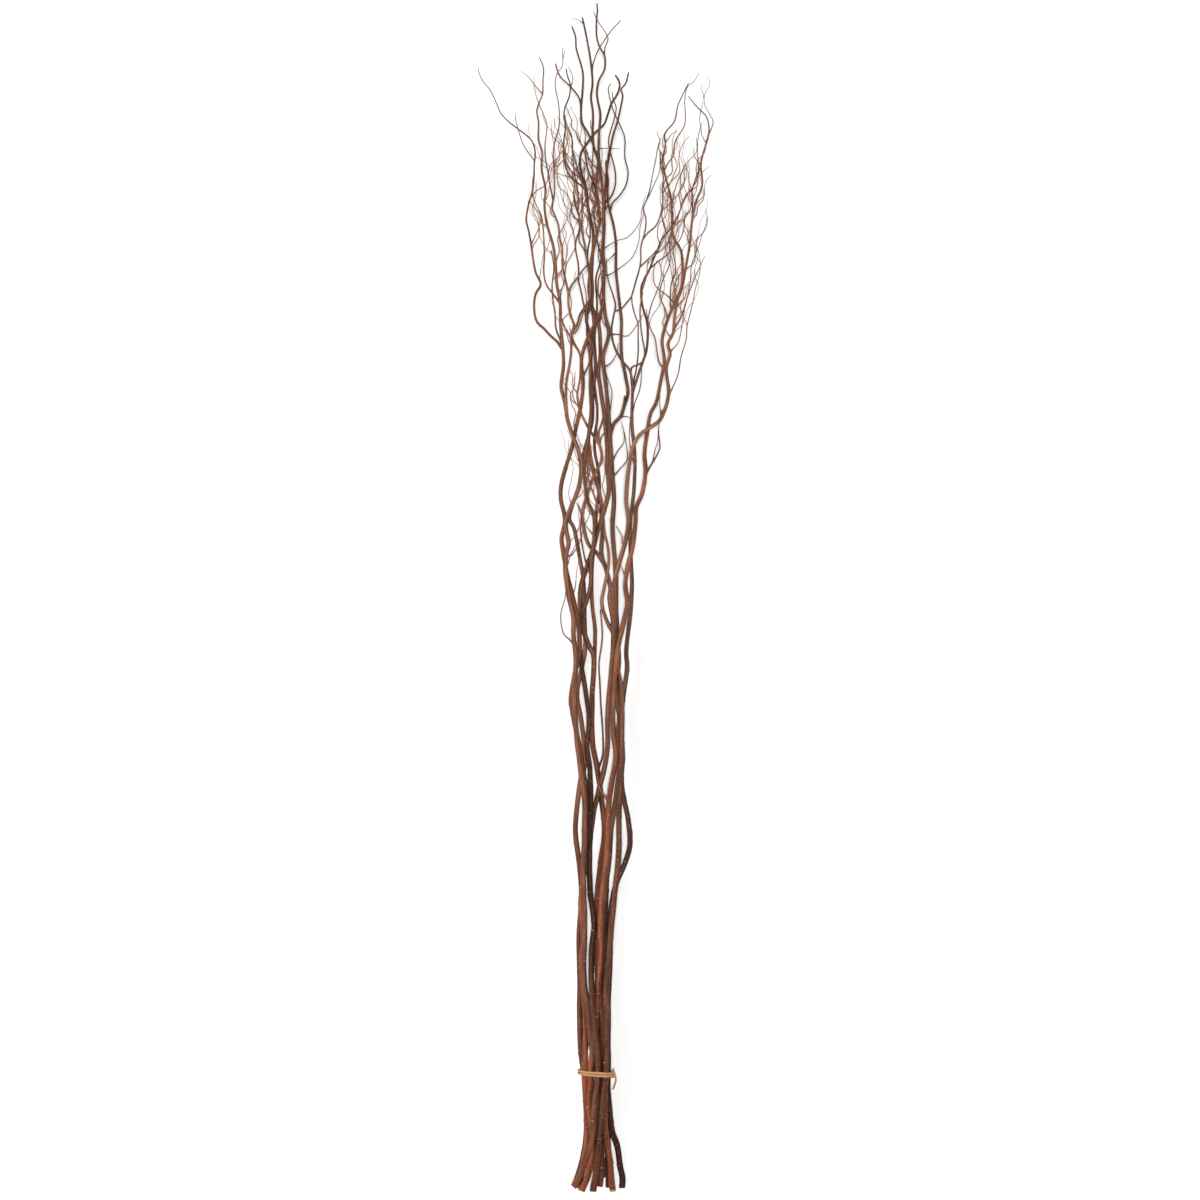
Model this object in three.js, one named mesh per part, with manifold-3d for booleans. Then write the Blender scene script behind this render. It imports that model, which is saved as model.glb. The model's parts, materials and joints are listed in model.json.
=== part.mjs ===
// A bundle of dried curly willow: ten long, wavy cut stems with their side shoots and fine twigs,
// held a little above the cut ends by two turns of twine, and lying on a flat surface.
//
// Millimetres. +Z is up from the surface, +Y runs from the cut ends to the tips, and the origin is
// on the surface below the middle of the bundle.

import * as THREE from 'three';
import { mergeVertices } from 'three/addons/utils/BufferGeometryUtils.js';
import Module from 'manifold-3d';

const wasm = await Module();
wasm.setup();

// ---- Driving dimensions -------------------------------------------------------------------------

const GRID = 1.5;              // the routes are set out on a squared grid: one square is this wide
const MIDDLE_COLUMN = 595;     // grid column that lies over the origin, columns counted from the left
const MIDDLE_ROW = 599.4;      // grid row that lies over the origin, rows counted from the tips
const HEIGHT_ROWS = [1190, 1073, 860, 655, 540, 450, 300, 150, 0];   // rows where stem heights are given

const STEP = 3;                // spacing of the points that a shoot is sampled at
const GAP = 1.7;               // clear space kept between the barks of two shoots
const STEM_TAPER = 2.2;        // how late a stem thins: 1 is an even taper
const SIDE_TAPER = 1.3;
const BUTT_SWELL = 0.13;       // a stem is this share thicker at its cut end than its taper says,
const BUTT_REACH = 400;        // and the share dies away over this length
const SLIMMER = 0.95;          // a side shoot is no thicker than this share of its carrier
const REST_SINK = 0.7;         // height of the middle of a resting shoot, in radii
const OFF_FLOOR = 0.9;         // clear space under everything that doesn't rest
const REST_HALF = 2;           // a resting spot is flat for this many points to each side
const REST_REACH = 16;         // points over which a shoot rises from its resting spot to OFF_FLOOR

const TWINE_RADIUS = 1.75;
const TWINE_GAP = 0.9;         // between the twine and the stems that it holds
const TIE_ROWS = [1071.6, 1076.8];   // grid rows that the two turns run between, clear of each other
const TIE_SLOPE = 0.07;        // how far the turns slant down to the right
const TIE_REACH = 48;          // rows over which the stems come down again either side of the tie
const TIE_BAND = 4;            // rows either side of the turns in which the stems are measured

const SETTLE_ROUNDS = 420;     // rounds that push the shoots clear of each other
const FIRM_ROUNDS = 60;        // last rounds, with little smoothing
const PUSH = 1.2;              // share of an overlap that one round takes away
const SMOOTHING = 0.5;
const CROSSING_BREAK = 5;      // points that part one stretch where two shoots lie close from the next
const CHORD_ERROR = 0.85;      // how far a straight length of a faceted shoot may leave its curve
const FIVE_SIDED = 1.7;        // thicker shoots have five sides,
const FOUR_SIDED = 1.15;       // thicker ones than this four, and the rest three

// ---- The stems ------------------------------------------------------------------------------------
//
// Each stem is a list of shoots. The first is the stem itself: its radius at the cut end and at the
// tip, its heights above the surface at HEIGHT_ROWS, and its route as column,row pairs of the grid.
// Every other shoot says which shoot of the list it grows from, its radius at its root and its tip,
// how much higher its tip is than its root, and its route. It starts at the nearest point of the
// shoot that carries it.

const BRANCHES = [
  {
    name: 'branch_01',
    bark: 0x5b3f31,
    stem: [4.3, 0.7, [44, 35, 31, 26, 30, 34, 46, 52, 56],
      '573.3,1186.5 579.6,1175.4 582.4,1167.7 586.4,1156 589.6,1148.5 591.6,1141 592.8,1126 594.4,1108 '
      + '596.2,1093 597.6,1083 598.2,1068 597.3,1050 593.7,1020 593,1010 592,994 591.4,978 591.4,961 '
      + '592.2,944 594,932 594.3,926 593.5,916 591.7,905 590.3,894 589.7,875 589.4,855 589.5,830 590.8,800 '
      + '589.8,770 587,747 589,722 586.5,697 582.5,673 580,645 580.5,618 586.5,601 590.8,585 591,563 '
      + '594,540 594,516 588,502 585.3,485 584.5,466 586.8,446 588.8,432 590.5,420 591,408 590.5,395 '
      + '590,383 590,360 588.5,345 587,330 587.5,315 589.5,300 589.5,285 588.7,268 587,256 584.8,246 '
      + '582.6,236 580.5,222 576,208 573.5,196 574.5,184 571.5,172'],
    sides: [
      [0, 1.3, 0.6, 10, '591,575 587,566 583,550 580.5,530 581,515 577,503'],
      [0, 1.2, 0.6, 12, '588.8,350 590.5,343 589.5,330 587,320 586.5,308 586,294 583.4,281.4 582.5,274'],
    ],
  },
  {
    name: 'branch_02',
    bark: 0x8a4527,
    stem: [4.5, 0.75, [8, 41, 40, 50, 54, 58, 76, 88, 96],
      '581.2,1192 584,1186.5 587.3,1179 589,1171.5 590.3,1164 592.2,1155 593,1145 592.3,1134 590.8,1122 '
      + '589.6,1106 590.2,1091 590.9,1082 591,1068 593.5,1050 596,1015 598,985 600.5,960 600.5,925 602,895 '
      + '605,868 607,840 608,812 611.5,783 616,757 613.5,735 612.8,708 615.5,668 619,643 625.5,614 '
      + '627.5,603 625.3,585 628,566 632.5,547 635.5,522 636,508 642,494 645.5,471 644.5,455 647,434 '
      + '650.5,414 656,403 660.8,381 664,362 662,341 665.5,326 671,312 675.3,303 681,288 682.3,271 '
      + '680.5,252 673,238 671.5,217 670.5,200 666.7,184.4 662,163.4 665,147 664.6,136 674,124 677.5,108 '
      + '682,98 688,86'],
    sides: [
      [0, 1.5, 0.6, 14, '645.8,474 650.5,466 657,455 659.7,448 658.5,434 659,424 662,410'],
      [1, 0.9, 0.5, 6, '652.5,462 655,450 657.5,442 658,430'],
      [0, 1.1, 0.5, 12, '663.5,172 668,165 673,158 674,147 677,140 682,132 684.5,126 684.5,100 687,90 '
        + '694,84 698.5,76'],
      [0, 1.1, 0.5, 8, '669,312 670,298 671,285 675,275 675,266 673,255 673.5,245 676,235 678,222'],
      [0, 1.1, 0.5, 14, '666.5,321 665,310 660,299 660,290 664,278 668.5,268 670,258 668,240 664,230 '
        + '661,218'],
      [0, 1.1, 0.5, 10, '673.5,304 667,297 660,292 655,287 653,279 654,269 657,262'],
      [0, 1.0, 0.5, 12, '671,211 673,198 676,187 680,177 685,166'],
      [0, 0.8, 0.5, 6, '665.2,146 668,141 672,136.5 676.7,134'],
      [0, 1.3, 0.8, -8, '607.9,803 604.5,796 601,790.5 598.5,784 597.5,776'],
    ],
  },
  {
    name: 'branch_03',
    bark: 0x9a5a35,
    stem: [4.2, 1.2, [13, 18, 21, 34, 36, 44, 72, 84, 90],
      '578,1190 582,1170 585,1155 587.2,1143 587.4,1130 586.6,1112 585.3,1094 584.6,1076 585,1058 '
      + '585.5,1040 585.5,1020 582.5,980 581.5,960 583,940 581,905 584,870 586.5,830 587,808 583,770 '
      + '578,740 572.5,712 570.8,700 574.5,676 579.5,650 578,622 573,598 567.5,576 562.5,548 561.5,538 '
      + '565,520 561,500 561,487 566,466 572,447 576,428 580.5,408 583,385 581.5,360 585.5,345 593,328.5 '
      + '598,318.5 601.8,310 603.2,300 603.4,290 604,279 604.2,270 602.6,264 601.4,257 602.2,248 603.2,240 '
      + '603.2,230 603.6,209 605,192 606.4,175 610,153 613,138 618,122 621,108 622.6,98 621,92 625.6,86 '
      + '628.4,75.6'],
    sides: [
      [0, 1.4, 0.8, 12, '604,206 610,200 614.5,190 615.5,178 613.5,166 610,154 608.5,143 611,132 614,122 '
        + '616,110 613,102 612,95'],
      [0, 1.2, 0.5, 8, '581.8,364 579,352 575,344 572,336 569,326'],
      [0, 1.5, 0.8, 8, '583,378 587,369 589.5,362 591,352'],
      [0, 1.5, 0.6, -14, '601.6,261 600.4,255 598.9,249.5 597.8,244.5 596.3,236 594.5,220 595,207'],
      [0, 1.4, 0.9, -6, '602.8,305 600.5,301 598.2,295 598,288 598.6,280 600.2,274.6 603,271.6'],
      [0, 1.2, 0.6, 8, '604,214 608.3,205 608,193 608.6,183 607,170 607.5,160 609,151'],
    ],
  },
  {
    name: 'branch_04',
    bark: 0x6d4c3a,
    stem: [4.4, 0.8, [22, 24, 39, 44, 48, 54, 32, 34, 40],
      '600,1187 601,1165 599.8,1148 598.4,1132 598.1,1112 598.6,1092 598,1075 591.5,1045 589.8,1028 '
      + '587.8,1006 584.6,990 583.5,972 583.8,948 584.3,928 584,905 583.2,885 583,870 584.5,840 584.8,805 '
      + '582,780 577,740 575,712 574.5,688 576,660 573.5,635 573.5,618 569,597 565.5,573 566.5,553 '
      + '568.5,544 566,525 571,507 578.5,489 581,467 578,449 572,434 567.5,419 565,403 561.2,387 563.3,367 '
      + '563,350 560.5,325 560,301 556.7,284 555.7,266 553,245 546.2,220.8 544.4,203 545.5,190 541.5,168 '
      + '542,152 538.5,139 538.5,122 536.8,110 539.5,101.4 542.4,93.7 542.9,80.4 543.3,67 539.5,57.4'],
    sides: [
      [0, 2.0, 0.6, -38, '563,351 557,341.5 550,335 544.3,328.7 536.6,321 534,306 535.7,293 540.5,283.9 '
        + '535.7,272.4 533.4,261 530.9,243.7 528.5,230 526,218.9 528,203.6 532,190 533.7,175 534,163 '
        + '535,152 531.8,139.7 524.2,132 516.5,126.3 507,118.6 500.3,111 494.5,97.6 489.7,88 482,78.4 '
        + '478.3,69.8 477.5,66'],
      [1, 0.9, 0.4, 6, '534.5,159 528,151 522.3,141.6 518.5,130 515.5,118 514.8,111'],
      [1, 0.9, 0.4, 8, '530.5,243 535.7,234 539,226 540.5,215'],
      [0, 1.4, 0.6, 12, '560.3,303 552.9,293.5 546.2,284 543.7,272 544.3,254 543.3,232 541.4,216 '
        + '535.7,203.6 532.8,194 532.5,182 534.5,170'],
      [0, 1.4, 0.8, -8, '562.5,345 556,328.7 554.8,311.5 552.9,300 552,285 553.8,266 551,250'],
      [0, 2.1, 0.6, 24, '566.5,415 566,395 566.5,382 569.5,365 571.3,350 571,336 574,326 571,317 568.5,305 '
        + '568.2,293 565.3,280 562.4,264.8 562.4,251 559.8,239 558.5,226.5 554.8,216 552,208.5 554.5,196 '
        + '554.2,175 553.5,155 554.8,143.5 558.5,132 559.6,120 558.6,105.2 555.7,90 555.7,80 558,74 '
        + '562.4,68 562.4,49.7'],
      [6, 0.6, 0.4, 2, '562.4,62 564.2,56 565.3,51.6'],
      [6, 1.2, 0.6, -8, '571,338 566.3,330.6 562,320 559.6,308 560,298'],
      [6, 2.0, 0.8, 14, '572,333 577,325 580,315 585,307.5 589,300.5 590.5,290 589,275 587,262 586,250 '
        + '583,236 581.5,222'],
      [6, 1.8, 1.3, 10, '568.3,299 570,290 572.4,284.8 575,281.8 578.8,276.8 581.7,272.6 586.5,266.7'],
      [6, 1.3, 1.0, 8, '572,335 575,333 578.3,328 581.5,319 583,313.6 584.6,307'],
      [0, 0.9, 0.4, 5, '542.7,93.7 535.7,86 528,76.5 520.4,70.8'],
      [6, 1.3, 0.4, -6, '552.4,210 552.8,200 550,186 548,172 545.6,160 545.2,146 547,126 543.3,114.8 '
        + '537.6,101.4 534.3,86 534.3,73.7'],
      [0, 1.0, 0.6, 8, '573.8,647 569.5,639.5 564,634.5 561,622 561.2,612 565,598 566,588'],
      [0, 0.9, 0.5, -7, '566.6,557 571,555.5 575,550.5 579,544 582,536'],
      [0, 0.9, 0.4, 16, '559.8,298 561.5,290 564,282 565.3,272 566.5,264 570.5,256.5 575,247.5 574,236 '
        + '571.5,226 569.5,215 572,206 575,196'],
      [6, 0.6, 0.4, 4, '554.3,169 559,165.5 564,162'],
    ],
  },
  {
    name: 'branch_05',
    bark: 0x4a3b30,
    stem: [4.0, 1.3, [12, 14, 15, 24, 14, 16, 18, 26, 34],
      '605,1179 603.3,1168 601.4,1157 603,1144 603.8,1130 603.2,1116 600.5,1080 600,1065 596,1030 592,995 '
      + '591,965 593,937 594.5,922 590.5,895 589,868 590.5,838 594,812 599,790 604,770 607.5,748 607.5,720 '
      + '609.5,690 613,648 613,620 609.5,598 610.5,588 606.5,571 601.5,553 603,525 599.8,495 593.5,471 '
      + '590,455 588.5,438 591.7,408 592,386 591,360 594,325 592,305 592.5,291 592,272 592.6,254 593.2,232 '
      + '588.3,207.4 586.4,188.3 582,175 580,163 581,152 586.4,143.5 595,132 604,123.4 608,113 611.2,103.3 '
      + '617,93.7 619.8,85 618.5,79 615.6,75'],
    sides: [
      [0, 2.9, 1.1, 6, '603.5,564 596,552 589,545 583.8,528 582.5,513 589,489 595.5,472 601.5,460 600,446 '
        + '593,435 586,423 580.5,411 577.3,395 578.5,386 580,377 580.3,365 579.8,354 577,348.5 573.5,343 '
        + '571,336'],
      [1, 0.9, 0.5, 8, '579.9,410 575,401.5 572.5,393 574.5,381 575,371'],
      [0, 3.0, 1.7, -4, '611,634 606.5,620 601.8,603 604.8,585 608.8,563 608,548 604.8,532 603.5,518'],
      [0, 1.6, 0.8, 10, '602.5,529 599,510 594,495 588.5,479 587.3,457 587.5,437 589.5,420'],
      [1, 1.0, 0.6, 8, '597.8,441 596.8,425 596.5,412 597,400 595.5,385 594,372'],
      [1, 1.6, 1.1, 6, '598.5,443 599,431.6 601.5,423 603.3,416 603.5,405'],
      [1, 1.2, 0.8, 10, '599.5,445 601.5,436.3 604.5,432 606,424'],
      [0, 1.4, 0.9, -8, '587,197 586,190.5 581,184.5 575,180.5 569.5,175 566,167 564,157 563.5,146 '
        + '564.2,135 565.5,126 563.8,116 565,106 569,95.7 570.3,84 567,73 566.3,67.9'],
      [8, 0.7, 0.4, 3, '570.3,86 572.8,78 571,70.5 568.2,65.6'],
      [0, 1.3, 0.6, 12, '585,190 582,179.6 578,169.6 575,159.6 572.7,150 572.3,139 570.4,135 566.5,127.5'],
    ],
  },
  {
    name: 'branch_06',
    bark: 0x705244,
    stem: [4.4, 0.8, [32, 38, 46, 46, 52, 70, 46, 40, 38],
      '593,1192 596.5,1170 598.5,1140 601.5,1110 604,1091 605.6,1078 606,1064 605.8,1050 606.5,1012 '
      + '606,990 608.5,960 611,930 614,900 618,865 619,845 619,815 621.5,770 621.8,730 621.3,690 617.3,668 '
      + '614.5,645 614,607 614,585 619.5,562 625.5,541 628.5,522 626.2,500 628.5,470 632,450 639,436 '
      + '649,428.5 659,421.5 664,412 668.5,393 666.2,368 670,354 668,344 673,333 674.5,318 677.2,301 '
      + '682,287 686,266 690,243 692,222 696,202 702,186 702,176 701,165 704,150 708.5,136 708.8,125 '
      + '706,116 698.3,108 688.7,96.6'],
    sides: [
      [0, 1.4, 0.5, 8, '674,330 680,319 684,309 687.7,296 692,285 696,275 700,267 704.6,256'],
      [0, 1.1, 0.4, -14, '668.4,397 672,389 677.5,376 681,357 686,340 687,326 690,314 693,302 695,290 '
        + '698,280 700,270 700,261 698,250 695,245'],
      [1, 0.8, 0.4, 5, '688,296 690,281 691.5,266 694.5,256 699,245.5 702,235 705,227 707,217'],
      [0, 0.9, 0.5, 8, '669.5,352 674,348 678,343 680.5,334 682,325 684,313 684.5,305'],
      [0, 1.3, 0.6, 12, '666.5,370 660,365 656.5,350 655,339 651,331 648,321 646,310'],
      [0, 0.9, 0.5, 10, '661.5,419 660,410 659.5,400 660,388'],
      [0, 1.1, 0.4, -10, '692.4,218 692.3,203 692.2,190 695,180 698.5,170 697.8,156 697.8,142 699.5,130 '
        + '702.8,121'],
      [0, 0.8, 0.4, 5, '708.6,134 712,127 713,121 709,113 705,106 703.6,97 701,86'],
      [8, 0.6, 0.4, 3, '703.8,99 705.5,92 709,87 709.7,82 707,77.3'],
      [0, 0.7, 0.4, -6, '706.5,142 702,135.5 701,127 699.6,118 701,110 703,101'],
      [0, 0.7, 0.4, 5, '701,165 697,160.5 694.5,157 693.3,148'],
    ],
  },
  {
    name: 'branch_07',
    bark: 0x4b3331,
    stem: [4.2, 2.35, [4, 21, 16, 16, 17, 14, 9, 8, 10],
      '622.1,1190 622.4,1180 620.4,1170 618.6,1155 616.4,1145 612.9,1136 611,1127 609.4,1110 608,1092 '
      + '607.6,1076 608,1060 608,1045 608,1006 609,985 609.9,961 610.3,935 611,910 616,886 624.5,865 '
      + '630,846 628.5,822 622,788 621.7,772 623,760 621,728 623,700 627.2,668 626.3,652 631,608 632,582 '
      + '630.5,547 630.5,522 634,490 635,455 632,423 632.8,388'],
    sides: [
      [0, 1.3, 0.9, -5, '632.8,391 633.9,379 635.7,372 637.2,363.6 638.4,349 638.2,335 638.1,322 636,316.5 '
        + '634,310 632.2,302 632,296.5'],
      [0, 2.0, 0.7, 16, '632.8,388 630,370 622,360 614.5,346 611.6,330 613,318 615.5,305 613,294 609.5,284 '
        + '607,272 606.4,258'],
      [0, 2.1, 0.7, -7, '632.6,391 638,375 643,361 646.5,350 648,331 647,320 642.8,305.7 641.3,294 642,284 '
        + '648.5,271 652.4,261 657,250 662.5,237 670,228 677.2,216 686.8,194 695.4,182 700,168 703,155'],
      [2, 1.3, 1.0, 8, '630.5,371 632,366.6 637,364.5 641.8,361.8 644.6,356 644.6,349 642.4,337 640.9,325 '
        + '640.2,310 641.2,301 642.6,292'],
      [3, 1.2, 0.5, -4, '641.6,286 645,276 650,268 659,259.5 665,255.5 675,244.5 681,237 684,228 686,213 '
        + '690,209 693,198'],
      [3, 0.9, 0.5, 12, '647.2,322 651,306 655,295 659,285 661.8,272 659,260'],
      [2, 1.4, 0.8, 4, '614.6,311.3 618,309.5 621.9,307.7 626,302.9 630.9,296.8 633.2,290.5 636,280 '
        + '639.5,268 641,258 640.8,250 642.5,240 648,232 656.2,224.6 660.5,214 663,198 662.5,186 663.5,176 '
        + '660.8,165 660.3,151'],
      [0, 0.9, 0.5, 7, '634.9,466 631,452 629.5,436 630.5,416'],
      [0, 1.0, 0.5, 11, '631.8,421 634.5,404 640,388 642,368'],
      [7, 1.2, 0.8, 6, '640.2,266 644,262.6 650.2,256.5 653.2,254 656,250'],
      [7, 1.1, 0.5, 10, '643,240 645.5,228 646,218 643.5,208 647,198 650,188 653,172 656,158 658,146 '
        + '660.8,138'],
      [11, 0.7, 0.4, 4, '646.6,199 650,193 655,182 659.5,171 661,158'],
      [2, 0.8, 0.4, 10, '611.7,333 619,333.8 625,335.6 629,334.5 634,328.5 638,322.5 641,317 645,312'],
    ],
  },
  {
    name: 'branch_08',
    bark: 0x55413a,
    stem: [4.3, 1.2, [8, 11, 22, 34, 36, 42, 54, 64, 70],
      '609,1190 608,1152 607,1130 606.5,1098 605.5,1080 603,1060 601.5,1020 603.5,980 605.5,945 605.3,915 '
      + '606.3,885 609.3,855 611,830 617,792 619.5,765 617.5,740 619.5,717 617,698 617.5,676 618.5,662 '
      + '617.5,638 616,612 616,576 612.5,527 614,500 611.5,462 609.5,428 606.5,390 603,356 605,349 609,333 '
      + '605.5,317 603.6,299 604.1,270 603,250 604.1,230 603.6,209 602.5,190 600,170 598.5,150 599,135 '
      + '600.3,115 598,103 596.9,94 598.8,82.3 604.5,70.8 604.5,57.4 599.7,48.8 596.7,38.3 596.7,20 '
      + '597.5,12 596.9,5.7'],
    sides: [
      [0, 2.8, 1.5, 14, '609.8,436 614,423.5 620.5,416.5 624.5,405 628,393 625.5,376 622,359 621,338 '
        + '621.5,322 620,308 618,290 616,272 616,245.7 614,228 609.5,210 607.5,198 607.5,186 606.5,174 '
        + '606,162'],
      [1, 1.5, 1.3, 4, '621.5,414 624,402 624.6,396'],
      [0, 0.9, 0.6, 5, '604.8,57 604.9,49.7 608,41 605.5,34.4 598.8,24.9 595.5,18.5 593.6,14.3'],
      [0, 0.9, 0.5, 9, '608.5,418 611.3,402 611.8,391 608.5,381 605,370'],
      [1, 0.8, 0.5, 4, '620.5,416.5 626,416.5 631,418'],
      [0, 0.9, 0.5, 12, '611.6,463 617,452 624,442 624,434 621.5,422'],
      [0, 0.9, 0.5, 18, '612.5,478 619,470 627,460 627,450 624.5,433'],
      [0, 0.7, 0.4, 5, '598.6,150 604,149.5 611,150 619.8,150'],
      [0, 0.8, 0.4, 14, '604,276 608.4,275.5 615,272 622,267 631,259.5 635.5,252 639,240 640,228 644,214'],
      [0, 0.8, 0.4, 22, '603,250 606.5,247.5 617,241.5 627,238.5 636,229.5 640.5,221 641.5,212 645,198'],
      [1, 0.9, 0.6, 5, '616,253.5 612,257 609,260 607.2,262.3'],
      [0, 0.9, 0.5, 12, '604.2,367 610,364 614,359 617,353 618,344'],
      [0, 0.7, 0.4, 5, '607.5,329 603,322.5 601.3,315 601,304'],
      [0, 1.2, 0.6, 10, '600.5,180 597,170 593,166 590,161 587,155 585.2,147 585.4,139 584.2,131 581,125'],
      [1, 1.25, 0.8, 4, '610.2,212 613,203 618,198 625.6,186.4 628,173 624.8,158 624.6,138 619.5,125 '
        + '613.5,112 609.5,98 608.5,88 610.8,85'],
    ],
  },
  {
    name: 'branch_09',
    bark: 0x6b2f24,
    stem: [4.3, 1.3, [18, 26, 11, 16, 24, 28, 36, 46, 56],
      '613,1192 611.5,1183 610.4,1172 609.6,1160 607.6,1148 606,1137 604.8,1122 604.6,1105 604,1085 '
      + '603.5,1065 603.5,1045 600,1010 597.5,965 597,920 597.5,895 600.5,865 604.5,830 601.5,800 597,768 '
      + '592.8,745 592,700 593.5,655 590,648 584,632 580,598 582.5,580 590.5,557 596.5,535 605.5,506 '
      + '609,488 607,465 607.5,450 604,413 601,392 598.5,372 600.5,352 598,322 592,306 589,288 590.5,270 '
      + '592.7,252 596.5,236 600,220 598,205 596,190 597,175 598,160 594,148 592.7,135 593,122 592.7,111 '
      + '591,97.6 592.5,84.2 591.7,70.8 589.2,51.7 585.4,32.5 582.5,19'],
    sides: [
      [0, 3.1, 1.2, -6, '593,670 594.8,650 595,630 592.5,607 591.5,585 592.5,562 594,543 595.5,524 597,505 '
        + '599.5,487 598,468 595,452 594.5,436 597,420 597,404 594.5,388 596,370 595.5,352 594.8,337 '
        + '595.6,323.7 596.9,312 596.7,296 595.8,284 596.2,275 598.2,268 600.6,260 601.8,250 602.3,238'],
      [0, 1.5, 1.0, 12, '597.5,772 602.5,757 603,738 600.7,703 599.8,682 599,664 602.3,637 600.5,610'],
      [0, 1.0, 0.75, 8, '592,75 592.7,67 596.9,53.6 604.5,41 612.2,30.6 620.8,21.4'],
      [0, 1.8, 1.1, -8, '593.6,145 587.3,132 582,122.4 581.2,107 582.5,91.8 583,73.7 580.6,63 576.2,47.8 '
        + '575.5,36.3 572,26.4'],
      [4, 1.3, 1.0, -10, '581.3,112 579.3,98.5 570,86 560.5,76.5 557,69 555.7,63.5'],
      [0, 0.7, 0.4, 3, '583.6,25 579,21.5 572,19.2'],
      [0, 1.2, 0.5, 12, '598.2,325 601.5,312 600,298 602,284 600.5,268 598,254 600.5,240'],
      [0, 1.2, 0.55, -12, '596,190 592,180 588,169.6 585.8,159 584.6,152 582,145 578,139 575.8,132 '
        + '571.5,126.5 571.5,119.6 569,113.5 566.5,106.5'],
      [0, 1.25, 0.6, 14, '597.5,204 593.5,192.7 592,185 592.7,177 592,166.5 592.7,158 593,146.5 593.5,135 '
        + '590.8,128 590.4,121'],
      [0, 1.2, 0.6, -10, '590,268 587,260 584.2,249.6 579.6,242 579,236 581,224 582,212 582.5,200 582,190'],
    ],
  },
  {
    name: 'branch_10',
    bark: 0x5e4034,
    stem: [4.2, 0.8, [4, 11, 12, 6, 10, 18, 24, 30, 34],
      '576,1184 583,1160 586.3,1138 586.4,1115 585.4,1095 584.2,1077 581.8,1060 580.3,1042 579.6,1015 '
      + '580,985 579,940 581.5,895 579.5,868 575.5,835 576,818 580.5,780 584.8,766 584.5,750 580.5,718 '
      + '577,695 581,671 585,650 584.5,618 583.3,580 579.5,557 573.5,527 569.5,519 572,506 580.5,478 '
      + '582.5,458 586,444 589.5,432 592.3,420 592.8,408 593,396 593.5,385 594.4,376 595,368 594.5,355 '
      + '592,340 589,330 586.8,323.7 586,317.4 588.9,311 590.5,300 590.3,288 589.3,276 588,264 587.5,254 '
      + '588.5,245 590,238 590,226 588,212 586,198 584,184'],
    sides: [
      [0, 1.4, 0.7, -6, '586,317.4 584.5,308 583,301 581.7,294 580,286.5 578.4,279.5 578.6,271 578,262 '
        + '576.5,254 575.4,244 579.5,226 578,208 578,192 575,176 573,160 572,146 571.5,134 567,124 '
        + '564.5,114'],
    ],
  },
];

// Where the bundle touches the surface: branch, shoot of the branch, and grid row.
const RESTS = [
  ['branch_10', 0, 1178],
  ['branch_07', 0, 1182],
  ['branch_04', 1, 196],
  ['branch_07', 3, 205],
];

// Fine twigs that grow by rule: branch, shoot that carries them, how many, and the least and most of
// the shoot's length that they grow from.
const TWIGS = [
  ['branch_01', 0, 6, 0.62, 0.95],
  ['branch_02', 0, 8, 0.60, 0.96],
  ['branch_03', 0, 7, 0.60, 0.96],
  ['branch_04', 0, 5, 0.62, 0.96],
  ['branch_04', 1, 2, 0.25, 0.85],
  ['branch_04', 6, 4, 0.30, 0.90],
  ['branch_05', 0, 6, 0.60, 0.96],
  ['branch_05', 1, 3, 0.40, 0.95],
  ['branch_06', 0, 7, 0.62, 0.96],
  ['branch_07', 7, 5, 0.35, 0.95],
  ['branch_07', 3, 6, 0.25, 0.90],
  ['branch_08', 0, 7, 0.60, 0.96],
  ['branch_08', 1, 3, 0.40, 0.90],
  ['branch_09', 0, 7, 0.60, 0.96],
  ['branch_09', 1, 2, 0.50, 0.95],
  ['branch_10', 0, 5, 0.60, 0.96],
];
// Stretches of the grid that the fine twigs keep to: top and bottom row, left and right column.
const TWIG_ROOMS = [
  [110, 330, 524, 562],
  [95, 240, 562, 582],
  [135, 240, 562, 606],
  [240, 460, 562, 580],
  [128, 250, 657, 711],
  [250, 340, 635, 703],
];
const TWIG_LENGTH = [60, 165];     // shortest and longest twig
const TWIG_TURN = [0.2, 0.5];      // radians that a twig leaves its shoot by
const TWIG_WANDER = 0.42;          // radians that it swings to each side on its way
const TWIG_RISE = [-22, 30];       // how much higher its tip is than its root
const TWIG_RADIUS = [0.95, 0.45];  // at its root and at its tip
const TWIG_POINTS = 6;
const TWIG_TRIES = 12;             // ways that are tried for each twig
const TWIG_CLEAR = 0.6;            // least clear space round a twig that is kept

// ---- Routes ---------------------------------------------------------------------------------------

// A seeded random number from 0 to 1 at each call.
function seeded(seed) {
  let state = seed >>> 0;
  return () => {
    state = (state + 0x6d2b79f5) >>> 0;
    let mixed = Math.imul(state ^ (state >>> 15), state | 1);
    mixed ^= mixed + Math.imul(mixed ^ (mixed >>> 7), mixed | 61);
    return ((mixed ^ (mixed >>> 14)) >>> 0) / 4294967296;
  };
}

const lerp = THREE.MathUtils.lerp;

function gridToPlan(column, row) {
  return [(column - MIDDLE_COLUMN) * GRID, (MIDDLE_ROW - row) * GRID];
}

function readRoute(text) {
  return text.split(' ').map((pair) => gridToPlan(...pair.split(',').map(Number)));
}

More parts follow.
